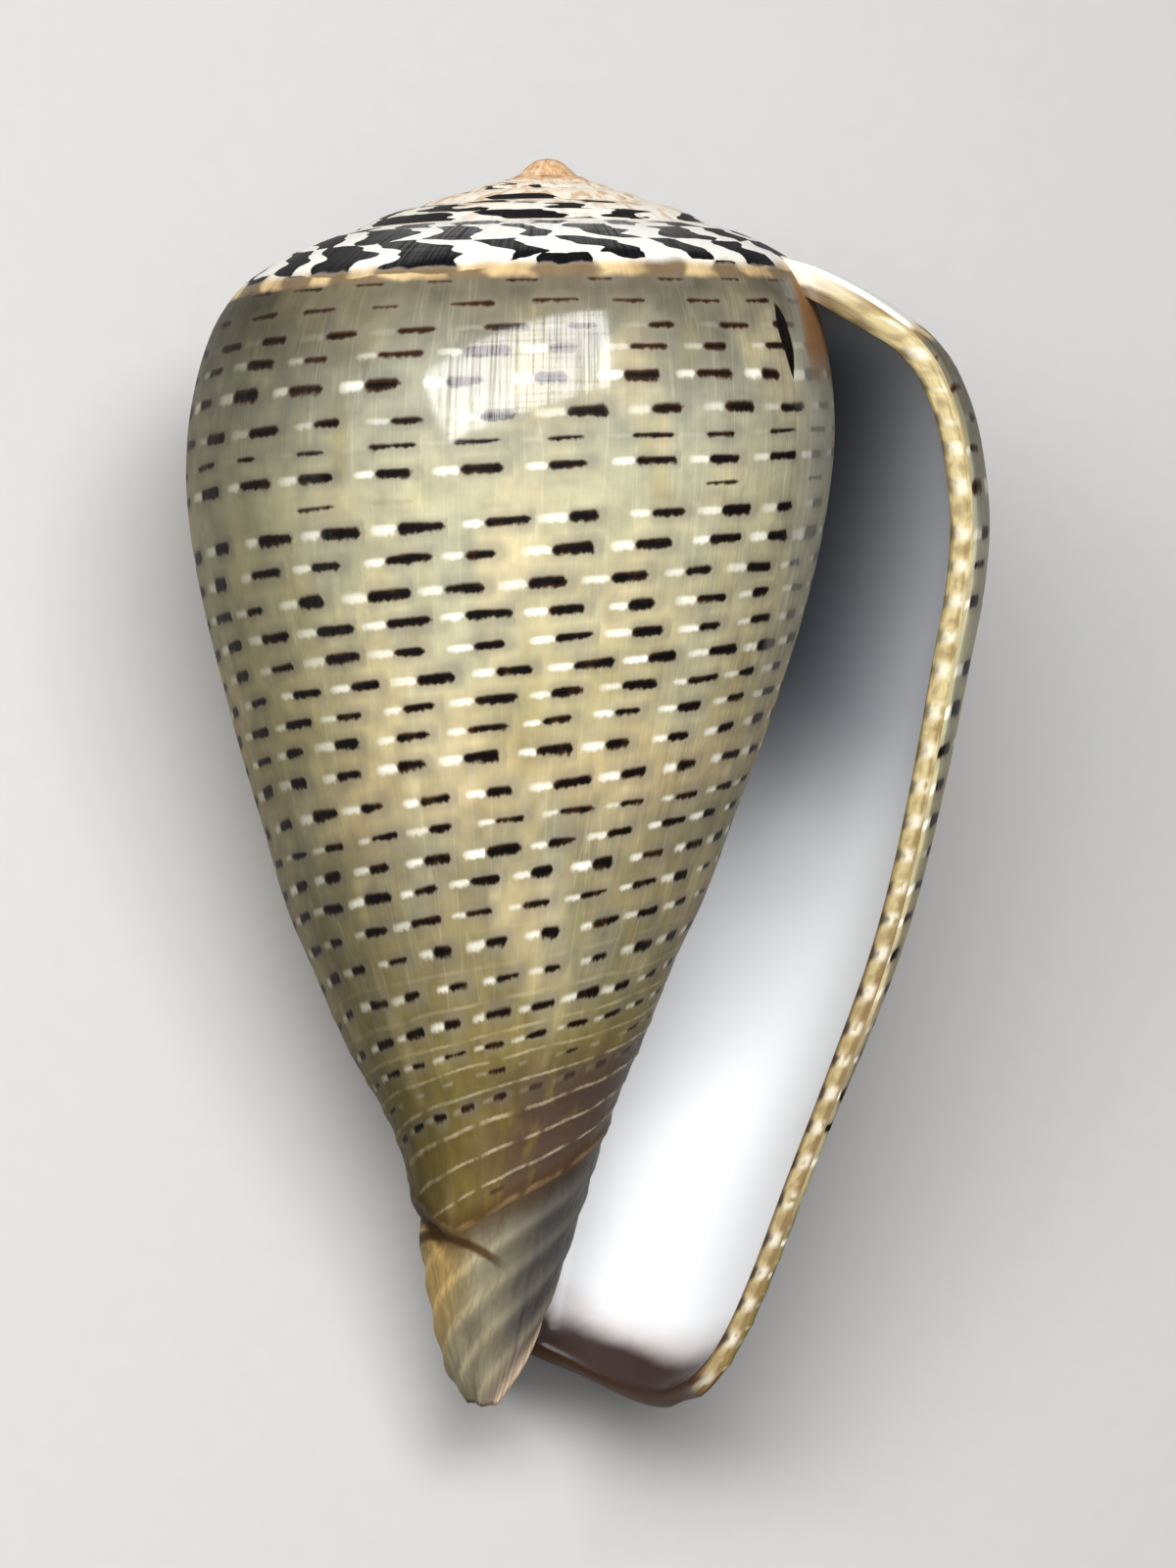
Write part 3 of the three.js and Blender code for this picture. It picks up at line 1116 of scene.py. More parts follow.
class Graph:
    """A material's node tree."""

    def __init__(self, name: str) -> None:
        """Makes an empty material.

        Args:
            name: of the material.
        """
        self.material = bpy.data.materials.new(name)
        self.material.use_nodes = True
        self.tree = self.material.node_tree
        self.tree.nodes.clear()

    def node(
        self, kind: str, settings: dict[str, object] | None = None,
        inputs: dict[str | int, object] | None = None,
    ) -> bpy.types.Node:
        """Adds a node.

        Args:
            kind: the node's type.
            settings: its properties, set first; "stops" gives a ramp's (place, colour) pairs.
            inputs: the values or links of its sockets, by name or number.

        Returns:
            The node.
        """
        made = self.tree.nodes.new(kind)
        for name, setting in (settings or {}).items():
            if name == "stops":
                self.set_stops(made, setting)
            else:
                setattr(made, name, setting)
        for name, given in (inputs or {}).items():
            socket = made.inputs[name]
            if isinstance(given, Value):
                self.tree.links.new(given.socket, socket)
            elif isinstance(given, bpy.types.NodeSocket):
                self.tree.links.new(given, socket)
            elif isinstance(given, tuple) and socket.type == "RGBA":
                socket.default_value = (*given, 1.0)
            else:
                socket.default_value = given
        return made

    @staticmethod
    def set_stops(ramp: bpy.types.Node, stops: Stops) -> None:
        """Gives a colour ramp its stops.

        Args:
            ramp: a new Color Ramp node, which has two stops.
            stops: the places and colours, in rising order of place.
        """
        elements = ramp.color_ramp.elements
        for number, (place, colour) in enumerate(stops):
            element = elements[number] if number < 2 else elements.new(place)
            element.position = place
            element.color = (*colour, 1.0)

    def value(
        self, kind: str, output: str | int, settings: dict[str, object] | None = None,
        inputs: dict[str | int, object] | None = None,
    ) -> Value:
        """Adds a node and wraps one of its outputs."""
        return Value(self, self.node(kind, settings, inputs).outputs[output])

    def parts(self, source: bpy.types.NodeSocket) -> tuple[Value, ...]:
        """The x, y and z of a vector."""
        split = self.node("ShaderNodeSeparateXYZ", None, {0: source})
        return tuple(Value(self, output) for output in split.outputs)

    def math(self, operation: str, *values: Value | Number) -> Value:
        """A Math node on values."""
        inputs = dict(enumerate(values))
        return self.value("ShaderNodeMath", 0, {"operation": operation}, inputs)

    def blend(
        self, share: Value | Number, a: Value | Colour, b: Value | Colour, way: str = "MIX"
    ) -> Value:
        """Colour a turned into colour b, or mixed with it in another way.

        Args:
            share: how far, from 0 to 1.
            a: the first colour.
            b: the second colour.
            way: the Mix node's blend type.

        Returns:
            The colour.
        """
        settings = {"data_type": "RGBA", "blend_type": way, "clamp_factor": True}
        inputs = {"Factor": share, 6: a, 7: b}
        return self.value("ShaderNodeMix", 2, settings, inputs)

    def ramp(self, at: Value, stops: Stops) -> Value:
        """A colour ramp read at a value."""
        return self.value("ShaderNodeValToRGB", "Color", {"stops": stops}, {"Fac": at})

    def map(self, name: str) -> tuple[Value, ...]:
        """The two values of one of the piece's UV maps."""
        return self.parts(self.node("ShaderNodeUVMap", {"uv_map": name}).outputs[0])[:2]

    def spot(self) -> Spot:
        """The place on the surface, from all of the piece's UV maps."""
        return Spot(*(value for field in fields(Mark) for value in self.map(field.name)))

    def noise(
        self, x: Value | Number, y: Value | Number, z: Value | Number, detail: float = 2.0,
        rough: float = 0.5, twist: float = 0.0,
    ) -> Value:
        """Soft noise round a half.

        Args:
            x: the first coordinate; the noise changes over about 1.
            y: the second one.
            z: the third one, often a bare number that picks one noise of many.
            detail: how many finer layers it has.
            rough: how strong the finer layers are.
            twist: how far it is distorted.

        Returns:
            The noise.
        """
        at = self.value("ShaderNodeCombineXYZ", 0, None, {0: x, 1: y, 2: z})
        inputs = {
            "Vector": at, "Scale": 1.0, "Detail": detail, "Roughness": rough,
            "Distortion": twist,
        }
        return self.value("ShaderNodeTexNoise", 0, None, inputs)

    def chance(self, x: Value, y: Value | Number, z: float = 0.0) -> tuple[Value, ...]:
        """Chance values, the same wherever the coordinates are the same.

        Args:
            x: the first coordinate.
            y: the second one.
            z: the third one.

        Returns:
            Three values between 0 and 1.
        """
        at = self.value("ShaderNodeCombineXYZ", 0, None, {0: x, 1: y, 2: z})
        cells = self.node("ShaderNodeTexWhiteNoise", {"noise_dimensions": "3D"}, {"Vector": at})
        split = self.node("ShaderNodeSeparateColor", None, {0: cells.outputs["Color"]})
        return tuple(Value(self, output) for output in split.outputs)

    def finish(
        self, colour: Value, roughness: Value | float, relief: Value | None,
        coat: Value | float, gleam: float = 0.5,
    ) -> bpy.types.Material:
        """Ends the tree in a Principled shader.

        Args:
            colour: the base colour.
            roughness: of the surface under its coat.
            relief: fine relief, in mm.
            coat: the coat's weight.
            gleam: how strongly the surface under its coat reflects.

        Returns:
            The material.
        """
        inputs: dict[str | int, object] = {
            "Base Color": colour, "Roughness": roughness, "Coat Weight": coat,
            "Coat Roughness": COAT_ROUGHNESS, "Coat IOR": COAT_IOR, "Specular IOR Level": gleam,
        }
        if relief is not None:
            raised = {"Height": relief, "Distance": MM, "Strength": 1.0}
            inputs["Normal"] = self.node("ShaderNodeBump", None, raised).outputs[0]
        shader = self.node("ShaderNodeBsdfPrincipled", None, inputs)
        self.node("ShaderNodeOutputMaterial", None, {"Surface": shader.outputs[0]})
        return self.material


@dataclass(frozen=True)
class OutsideFinish:
    """The outside: dashed lines on an olive-beige side, black blotches on a white spire.

    The stops are those of colour ramps: the ground's colours by depth, as shares of ground_reach
    in mm, how far the ground's clouds and grain and the base's ridges lighten or darken it, and the
    painted shade by the place round the whorl, darkest at the left outline and the underside.
    Depths in the methods are in mm, and turns count from the lip.
    """

    black: Colour = (0.0035, 0.003, 0.0035)
    chocolate: Colour = (0.055, 0.024, 0.008)
    chalk: Colour = (0.93, 0.9, 0.78)
    shade: Colour = (0.2, 0.18, 0.15)
    blue_grey: Colour = (0.35, 0.37, 0.31)
    cream: Colour = (0.6, 0.5, 0.32)
    olive: Colour = (0.33, 0.27, 0.12)
    growth_line: Colour = (0.6, 0.56, 0.44)
    mauve: Colour = (0.075, 0.047, 0.035)
    thread: Colour = (0.72, 0.62, 0.42)
    crest: Colour = (0.2, 0.13, 0.06)
    crevice: Colour = (0.05, 0.022, 0.007)
    honey: Colour = (0.55, 0.36, 0.11)
    # painted shade on the base's ridges towards the mouth
    slate_shade: Colour = (0.055, 0.052, 0.054)
    horn: Colour = (0.8, 0.6, 0.42)
    ridge_step: Colour = (0.12, 0.1, 0.06)
    glaze: Colour = (0.4, 0.39, 0.33)
    stain: Colour = (0.3, 0.14, 0.05)
    margin: Colour = (0.1, 0.045, 0.02)
    shoulder_tan: Colour = (0.4, 0.27, 0.13)
    shoulder_cream: Colour = (0.66, 0.5, 0.26)
    shoulder_brown: Colour = (0.12, 0.08, 0.045)
    white: Colour = (0.78, 0.76, 0.7)
    suture_cream: Colour = (0.82, 0.72, 0.56)
    orange: Colour = (0.5, 0.23, 0.065)
    tip_cream: Colour = (0.8, 0.62, 0.42)
    gleam: float = 0.04
    ground_reach: float = 60.0
    ground_stops: Stops = (
        (0.0, (0.11, 0.095, 0.07)),
        (0.11, (0.12, 0.105, 0.08)),
        (0.145, (0.17, 0.16, 0.125)),
        (0.19, (0.31, 0.3, 0.245)),
        (0.25, (0.43, 0.41, 0.3)),
        (0.35, (0.46, 0.41, 0.265)),
        (0.42, (0.44, 0.375, 0.225)),
        (0.455, (0.47, 0.375, 0.225)),
        (0.49, (0.28, 0.245, 0.155)),
        (0.56, (0.25, 0.21, 0.115)),
        (0.64, (0.18, 0.142, 0.05)),
        (0.7, (0.15, 0.108, 0.035)),
    )
    cloud_stops: Stops = ((0.32, (0.82, 0.82, 0.76)), (0.68, (1.16, 1.14, 1.0)))
    grain_stops: Stops = ((0.32, (0.9, 0.9, 0.9)), (0.68, (1.08, 1.08, 1.07)))
    base_stops: Stops = ((0.34, (0.15, 0.13, 0.085)), (0.66, (0.26, 0.23, 0.15)))
    ridge_stops: Stops = ((0.55, (0.96, 0.96, 0.96)), (0.92, (1.35, 1.33, 1.28)))
    # painted shade by the turn: darkest round the left outline and the underside, a little beside
    # the mouth
    edge_shade_stops: Stops = (
        (0.3, (1.0, 1.0, 1.0)),
        (0.5, (0.52, 0.5, 0.45)),
        (0.625, (0.38, 0.38, 0.34)),
        (0.665, (0.54, 0.54, 0.5)),
        (0.74, (1.0, 1.0, 1.0)),
        (0.88, (1.0, 1.0, 1.0)),
        (0.99, (0.8, 0.8, 0.8)),
    )

    def make(self) -> bpy.types.Material:
        """Builds the material.

        Returns:
            The material.
        """
        g = Graph("outside")
        at = g.spot()
        past = at.line - CREST_LINE + at.turn.above(CREST_LEVEL, LEFT_EDGE) * CREST_DIP
        rough = g.noise(at.along * 3.5, at.depth * 2.6, 1.0, detail=3.0)
        wave = g.noise(at.along * 0.16, at.line * 0.9, 4.0, detail=1.0)
        line_at = at.line + wave.sway(0.3) + rough.sway(0.1)
        colour = self.dashes(g, at, line_at, rough)
        colour = self.threads(g, colour, at, line_at, past)
        colour = self.base(g, colour, at, past)
        colour = self.mouth_side(g, colour, at)
        margin = (at.row + rough.sway(0.01)).above(0.968, 0.985) * at.turn.above(0.52, 0.42)
        colour = g.blend(margin * 0.9, colour, self.margin)
        # painted shade: the colour darkens round the left outline and the underside, and a little
        # beside the mouth, less so at the front end
        edge_shade = g.ramp(at.turn + rough.sway(0.01), self.edge_shade_stops)
        colour = g.blend(1 - at.depth.above(42.0, 47.0) * 0.6, colour, edge_shade, "MULTIPLY")
        colour = self.spire(g, colour, at)
        gloss = g.noise(at.along * 2, at.depth * 0.6, 9.0, detail=3.0) * 0.2 + 0.4
        return g.finish(colour, gloss, self.relief(g, at), self.polish(g, at), self.gleam)

    def ground(self, g: Graph, at: Spot) -> Value:
        """Paints the ground under the dashes.

        Args:
            g: the material's graph.
            at: the place.

        Returns:
            The colour.
        """
        colour = g.ramp(at.depth / self.ground_reach, self.ground_stops)
        upper = at.depth.above(42.0, 30.0) * at.depth.above(4.0, 12.0)
        cool = g.noise(at.along * 0.15, at.depth * 0.13, 2.0, detail=3.0, twist=0.4)
        colour = g.blend(cool.above(0.47, 0.66) * upper * 0.42, colour, self.blue_grey)
        warm = g.noise(at.along * 0.2, at.depth * 0.14, 11.0, detail=3.0, twist=0.4)
        colour = g.blend(warm.above(0.5, 0.7) * (upper * 0.5 + 0.1), colour, self.cream)
        dull = g.noise(at.along * 0.35, at.depth * 0.14, 23.0, detail=3.0)
        dulled = at.depth.above(4.0, 12.0) * at.depth.above(40.0, 32.0)
        colour = g.blend(dull.above(0.52, 0.72) * dulled * 0.5, colour, self.olive)
        growth = g.noise(at.along * 0.9, at.depth * 0.05, 25.0, detail=3.0)
        streak = growth.near(0.56, 0.004, 0.016) * upper
        colour = g.blend(streak * 0.2, colour, self.growth_line)
        soft = g.noise(at.along * 0.45, at.depth * 0.6, 15.0, detail=2.0)
        colour = g.blend(1.0, colour, g.ramp(soft, self.cloud_stops), "MULTIPLY")
        fine = g.noise(at.along * 1.1, at.depth * 0.7, 5.0, detail=4.0, rough=0.55)
        return g.blend(1.0, colour, g.ramp(fine, self.grain_stops), "MULTIPLY")

    def dashes(self, g: Graph, at: Spot, line_at: Value, rough: Value) -> Value:
        """Lays the white dashes and the dark ones after them over the ground.

        The places along a cell are shares of it; the distances from a dash are in mm.

        Args:
            g: the material's graph.
            at: the place.
            line_at: its line number, with the waver of the lines.
            rough: the noise that makes edges ragged.

        Returns:
            The colour.
        """
        number = line_at.floor()
        off_line = abs(line_at - number - 0.5) * LINE_HEIGHT
        shift = g.noise(number * 0.37, 2.0, 5.0, detail=1.0) * 2.4
        column_at = at.column + shift + g.chance(number, 3.0)[0] * 0.3 + rough.sway(0.06)
        cell = column_at.floor()
        chance = g.chance(cell, number, 7.0)
        inking, chalking, tallness = self.strengths(g)
        height = tallness * (chance[2] * 0.25 + 0.72)
        length = chance[0] * 0.24 + 0.36
        past_start = column_at - cell - (chance[1] * 0.06 + 0.36)

        ink_x = (abs(past_start - length / 2) - length / 2) * CELL_LENGTH
        swell = g.noise(at.column * 1.6, number * 3.1, 17.0, detail=1.0)
        ink_y = off_line - height / 2 - swell.sway(0.24)
        ink_edge = outside_box(ink_x, ink_y, 0.3) + rough.sway(0.2)
        drawn = (inking - chance[1] * 0.6).above(-0.1, 0.0)
        white = chance[2] * 0.14 + 0.25
        chalk_x = (abs(past_start + white / 2) - white / 2) * CELL_LENGTH
        chalk_edge = outside_box(chalk_x, off_line - height * 0.34, 0.22)
        chalk = (chalk_edge + rough.sway(0.2)).above(0.1, -0.1) * chalking
        chalk = chalk * (chance[1] * 0.35 + 0.62)
        chalk = chalk * ((past_start / white + 1).above(-0.1, 0.5) * 0.65 + 0.35)
        tail_x = (abs(past_start - length / 2 - 0.05) - length / 2 - 0.02) * CELL_LENGTH
        tail = outside_box(tail_x, off_line - height / 2, 0.2).above(0.5, -0.05)

        colour = g.blend(tail * inking * drawn * 0.45, self.ground(g, at), self.shade)
        colour = g.blend(chalk, colour, self.chalk)
        worn = g.noise(at.along * 0.9, at.depth * 1.6, 61.0, detail=2.0).above(0.5, 0.68)
        brown = (worn + at.depth.above(13.5, 9.5) * 0.7).least(1.0)
        browned = (brown + 0.25).least(1.0) * ink_edge.above(-0.24, 0.0)
        dark = g.blend(browned, self.black, self.chocolate)
        return g.blend(ink_edge.above(0.07, -0.09) * drawn, colour, dark)

    def threads(self, g: Graph, side: Value, at: Spot, line_at: Value, past: Value) -> Value:
        """Paints the mauve patch by the mouth and the white, broken threads of the lower side.

        Args:
            g: the material's graph.
            side: the colour under them.
            at: the place.
            line_at: its line number, with the waver of the lines.
            past: how many lines it lies below the crest.

        Returns:
            The colour.
        """
        patch = g.noise(at.along * 0.25, at.depth * 0.3, 71.0, detail=3.0).above(0.3, 0.5)
        patch = patch * at.turn.above(0.7, 0.84) * at.line.above(27.5, 30.5)
        colour = g.blend(patch * 0.93, side, self.mauve)
        number = line_at.floor()
        off = line_at - number
        thread = off.near(0.1, 0.02, 0.09) + off.near(1.1, 0.02, 0.09)
        broken = g.noise(at.along * 0.35, number, 41.0, detail=5.0).above(0.36, 0.6)
        among = at.line.above(FIRST_THREAD - 1.5, FIRST_THREAD + 6) * past.above(0.2, -0.2)
        return g.blend(thread * broken * among * 0.42, colour, self.thread)

    def base(self, g: Graph, side: Value, at: Spot, past: Value) -> Value:
        """Paints the broad ridges at the front end, their crest and its crevice.

        Args:
            g: the material's graph.
            side: the colour above them.
            at: the place.
            past: how many lines it lies below the crest.

        Returns:
            The colour.
        """
        mottle = g.noise(at.along * 0.18, at.depth * 0.6, 51.0, detail=4.0)
        ridges = g.ramp(mottle, self.base_stops)
        yellow = at.turn.above(0.76, 0.64) * at.depth.above(50.0, 46.0)
        ridges = g.blend(yellow * 0.75, ridges, self.honey)
        # painted shade: the ridges darken to slate towards the mouth at the front end
        shaded = (at.turn + mottle.sway(0.12)).above(0.76, 0.88) * at.depth.above(60.0, 51.0)
        ridges = g.blend(shaded * 0.9, ridges, self.slate_shade)
        ridges = g.blend(at.depth.above(52.0, 56.5) * 0.8, ridges, self.horn)
        ridge_off = abs(at.line - at.line.floor() - 0.5) * 2
        ridges = g.blend(1.0, ridges, g.ramp(ridge_off, self.ridge_stops), "MULTIPLY")
        steps = g.noise(at.along * 0.35, at.line * 0.8, 81.0, detail=2.0)
        ridges = g.blend(steps.near(0.5, 0.01, 0.05) * 0.3, ridges, self.ridge_step)
        colour = g.blend(past.above(0.05, 0.25), side, ridges)
        ragged = past + mottle.sway(0.5)
        colour = g.blend(ragged.near(0.1, 0.2, 0.7) * 0.6, colour, self.crevice)
        crest = ragged.near(0.0, 0.03, 0.14) * mottle.above(0.42, 0.6)
        colour = g.blend(crest * 0.75, colour, self.crest)
        opened = ragged.near(0.5, 0.15, 0.5) * at.turn.above(0.72, 0.62)
        colour = g.blend(opened, colour, self.crevice)
        past_left = at.turn - LEFT_EDGE
        groove = at.depth - 43.4 - past_left * 4 - past_left * past_left * 60
        cut = groove.near(0.0, 0.1, 0.35) * at.turn.above(0.82, 0.76)
        return g.blend(cut * 0.9, colour, self.crevice)

    def mouth_side(self, g: Graph, side: Value, at: Spot) -> Value:
        """Paints the pale glaze beside the mouth, its brown stain and one black scribble.

        Args:
            g: the material's graph.
            side: the colour under them.
            at: the place.

        Returns:
            The colour.
        """
        haze = g.noise(at.turn * 60, at.depth * 0.25, 91.0, detail=3.0)
        glaze = (at.turn + haze.sway(0.05)).above(0.955, 0.98) * at.depth.above(30.0, 18.0)
        colour = g.blend(glaze * 0.5, side, self.glaze)
        stained = (at.turn + haze.sway(0.03)).above(0.975, 0.99) * at.depth.above(11.5, 9.0)
        colour = g.blend(stained * 0.9, colour, self.stain)
        drop = at.depth - 8.9
        away = (at.turn - 0.957) * 75 - drop * 0.16 + haze.sway(0.7)
        width = 0.52 - drop * drop * 0.15
        return g.blend((width - abs(away)).above(0.0, 0.1), colour, self.black)

    def spire(self, g: Graph, side: Value, at: Spot) -> Value:
        """Paints the ramps, the shoulder line and the tip over the side's colour.

        Args:
            g: the material's graph.
            side: the side's colour.
            at: the place.

        Returns:
            The colour.
        """
        turn, level = at.turn, at.level
        edge = g.noise(turn * 34, level * 5, 1.0, detail=3.0, rough=0.6)
        wave = g.noise(turn * 6, level * 1.4, 3.0, detail=2.0)
        drift = g.noise(turn * 9, level * 2.6, 13.0, detail=2.0)
        tiers = (level + wave.sway(0.5)) * 2.9 + edge.sway(0.25)
        tier = tiers.floor()
        per_tier = g.chance(tier, turn.floor(), 9.0)
        slant = turn * 18 - (turn - 1).most(0.0) * 9 + tier * 0.55 - level * 0.8
        slant = slant + drift.sway(1.6) + per_tier[0] * 0.2 + edge.sway(0.16)
        cell = slant.floor()
        chance = g.chance(cell, tier, 5.0)
        early = (turn - 1).above(0.0, 2.5)
        reach = chance[0] * 0.15 + 0.2 - early * 0.06
        box_x = (abs(slant - cell - 0.5) - reach) * 5.4
        box_y = (abs(tiers - tier - 0.5) - 0.5) * 1.35
        ink = outside_box(box_x, box_y - 0.06, 0.42).above(0.03, -0.04)
        ink = ink * (chance[1] - early * 0.5).above(0.12, 0.16)
        fuzz = g.noise(at.along * 0.8, level * 5, 31.0, detail=4.0)
        ragged = level + fuzz.sway(0.08)
        ink = ink * ragged.above(1.1, 1.07) * ragged.above(0.05, 0.12)
        ink = ink * at.radius.above(2.2, 2.8) * turn.above(0.02, 0.045)

        blush = g.noise(at.along * 0.5, level * 2, 37.0, detail=3.0)
        line = g.ramp(blush, ((0.35, self.shoulder_tan), (0.62, self.shoulder_cream)))
        line = g.blend(box_x.above(0.5, -0.2) * 0.85, line, self.shoulder_brown)
        colour = g.blend(ragged.above(1.02, 1.11), self.white, line)
        colour = g.blend(ragged.above(0.14, 0.04) * 0.6, colour, self.suture_cream)
        colour = g.blend(at.radius.above(8.0, 3.4) * 0.8, colour, self.suture_cream)
        tan = blush.above(0.5, 0.62) * at.radius.above(9.0, 5.0)
        colour = g.blend(tan * 0.6, colour, self.orange)
        colour = g.blend(ink, colour, self.black)
        flecks = g.noise(turn * 30, at.radius * 4, 45.0, detail=4.0)
        tip = g.ramp(flecks, ((0.35, self.orange), (0.66, self.tip_cream)))
        colour = g.blend((at.radius + flecks.sway(0.6)).above(2.1, 1.7), colour, tip)
        return g.blend(ragged.above(1.14, 1.2), colour, side)

    def strengths(self, g: Graph) -> tuple[Value, ...]:
        """The strengths of a dash line's ink and chalk and its height, from the mesh."""
        return g.parts(g.node("ShaderNodeAttribute", {"attribute_name": DASH}).outputs["Vector"])

    def relief(self, g: Graph, at: Spot) -> Value:
        """Fine growth lines.

        Args:
            g: the material's graph.
            at: the place.

        Returns:
            Their height, in mm.
        """
        fine = g.noise(at.along * 9, at.depth * 0.12, 2.0, detail=4.0, rough=0.7)
        broad = g.noise(at.along * 1.6, at.depth * 0.06, 6.0, detail=2.0)
        threads = g.noise(at.along * 0.4, at.depth * 5, 8.0, detail=2.0)
        worn = at.depth.above(42.0, 28.0) * 0.9 + 0.1
        return (fine * 0.018 + broad * 0.05) * worn + threads * 0.006

    def polish(self, g: Graph, at: Spot) -> Value:
        """How glossy the coat is: it is worn off all but a patch on the shoulder, and scratched.

        Args:
            g: the material's graph.
            at: the place.

        Returns:
            The coat's weight.
        """
        scratches = g.noise(at.along * 5, at.depth * 0.12, 19.0, detail=4.0, rough=0.7)
        crossed = g.noise(at.along * 0.2, at.depth * 7, 29.0, detail=2.0)
        polish = scratches.above(0.62, 0.44) * 0.75 + crossed.above(0.62, 0.5) * 0.25
        polish = polish * at.turn.near(0.8, 0.06, 0.15) * at.depth.above(26.0, 15.0)
        return polish * at.depth.above(0.8, 2.5) * 0.95 + 0.04


@dataclass(frozen=True)
class LiningFinish:
    """The inside: porcelain white near the front, greyer and darker up under the shoulder, partly
    the dark outside seen through the thin wall and partly painted shade deep in the hollow.
    """

    white: Colour = (0.76, 0.765, 0.775)
    # the grey and the dark below are partly the dark outside seen through the thin wall, partly
    # painted shade
    thin_wall_and_shade_grey: Colour = (0.55, 0.565, 0.6)
    dark: Colour = (0.075, 0.085, 0.1)
    mauve: Colour = (0.3, 0.22, 0.2)
    brown: Colour = (0.022, 0.008, 0.005)
    roughness: float = 0.3
    coat: float = 0.1
    gleam: float = 0.12

    def make(self) -> bpy.types.Material:
        """Builds the material.

        Returns:
            The material.
        """
        g = Graph("lining")
        turn, row = g.map("growth")
        along, depth = g.map("spread")
        at = depth + g.noise(along * 0.08, depth * 0.08, 3.0, detail=2.0).sway(8)
        # painted shade: greyer up under the shoulder and darker still deep in the hollow away from
        # the lip, partly the dark outside seen through the thin wall
        colour = g.blend(at.above(20, 29), self.thin_wall_and_shade_grey, self.white)
        colour = g.blend(at.above(33, 17) * turn.above(0.075, 0.2), colour, self.dark)
        front = row + g.noise(along * 0.1, depth * 0.3, 12.0, detail=4.0).sway(0.03)
        colour = g.blend(front.above(0.925, 0.965) * 0.55, colour, self.mauve)
        colour = g.blend(front.above(0.95, 0.978) * 0.97, colour, self.brown)
        return g.finish(colour, self.roughness, None, self.coat, self.gleam)


@dataclass(frozen=True)
class RimFinish:
    """The lip's rounded edge: a beaded cream ridge between yellow streaks and a ticked line."""

    cream: Colour = (0.5, 0.41, 0.21)
    white: Colour = (0.72, 0.67, 0.55)
    yellow: Colour = (0.27, 0.2, 0.07)
    tan: Colour = (0.19, 0.12, 0.05)
    stain: Colour = (0.1, 0.055, 0.025)
    brown: Colour = (0.035, 0.014, 0.006)
    roughness: float = 0.4
    coat: float = 0.06
    gleam: float = 0.15

    def make(self) -> bpy.types.Material:
        """Builds the material.

        Returns:
            The material.
        """
        g = Graph("rim")
        across, share = g.map("growth")
        depth, _ = g.map("spread")
        _, line = g.map("lines")
        grain = g.noise(across * 9, depth * 0.5, 2.0, detail=4.0, rough=0.6)
        blot = g.noise(across * 3, depth * 1.4, 6.0, detail=3.0)
        colour = g.blend(grain.above(0.4, 0.62), self.yellow, self.cream)
        ridge = (across + blot.sway(0.15)).near(0.58, 0.08, 0.22)
        colour = g.blend(ridge, colour, self.cream)
        low = depth.above(20.0, 34.0)
        colour = g.blend(low * (1 - ridge * 0.7) * 0.85, colour, self.tan)
        off_line = abs(line - line.floor() - 0.5)
        bead = off_line.above(0.3, 0.08) * across.near(0.5, 0.1, 0.25) * blot.above(0.35, 0.5)
        colour = g.blend(bead * 0.7, colour, self.white)
        dull = off_line.above(0.2, 0.45) * across.above(0.05, 0.3) * blot.above(0.62, 0.42)
        colour = g.blend(dull * 0.55, colour, self.tan)
        ticked = (off_line + blot.sway(0.5)).above(0.36, 0.08)
        ticked = ticked * (across + blot.sway(0.5)).above(0.5, 0.72)
        colour = g.blend(ticked * (low * 0.3 + 0.6), colour, self.brown)
        colour = g.blend(depth.above(6.2, 4.4) * 0.9, colour, self.white)
        under = (across + blot.sway(0.2)).above(0.5, 0.62) * depth.above(8.0, 5.0)
        colour = g.blend(under * 0.9, colour, self.stain)
        inner = (across + blot.sway(0.16) + low * 0.05).above(0.88, 0.96)
        colour = g.blend(inner * 0.9, colour, self.brown)
        front = share.above(0.62, 0.66) * blot.above(0.15, 0.4)
        colour = g.blend(front * 0.95, colour, self.brown)
        relief = grain * 0.05 + blot * 0.04
        return g.finish(colour, self.roughness, relief, self.coat, self.gleam)


def write_dash_lines(piece: bpy.types.Object) -> None:
    """Writes the ink, chalk and height of the nearest dash line to each corner of the mesh.

    Args:
        piece: the shell.
    """
    mesh = piece.data
    numbers = [int(corner.vector[1]) for corner in mesh.uv_layers["lines"].uv]
    dash = mesh.attributes.new(DASH, "FLOAT_VECTOR", "CORNER")
    for corner, number in zip(dash.data, numbers):
        line = DASH_LINES[min(max(number, 0), len(DASH_LINES) - 1)]
        corner.vector = (line.ink, line.chalk, line.height)


# Studio -------------------------------------------------------------------------------------


@dataclass(frozen=True)
class Lamp:
    """A soft rectangular light that faces the shell.

    Attributes:
        name: of the light.
        at: its place from the middle of the view, in metres: to the right, up, towards the
            camera.
        size: its width and height, in metres.
        power: in watts.
        mirrored: whether glossy surfaces show its reflection.
        tilt: how far it is turned in its own plane, in degrees.
    """

    name: str
    at: tuple[float, float, float]
    size: tuple[float, float]
    power: float
    mirrored: bool = False
    tilt: float = 0.0


LAMPS = (
    Lamp("key softbox", (-0.005, 0.1, 0.22), (0.28, 0.1), 1.0, mirrored=True, tilt=-52.0),
    Lamp("front fill", (0.0, 0.05, 0.42), (0.3, 0.3), 0.45),
    Lamp("left fill", (-0.24, 0.0, 0.22), (0.2, 0.25), 0.08),
    Lamp("right fill", (0.2, -0.12, 0.24), (0.2, 0.25), 0.1),
)


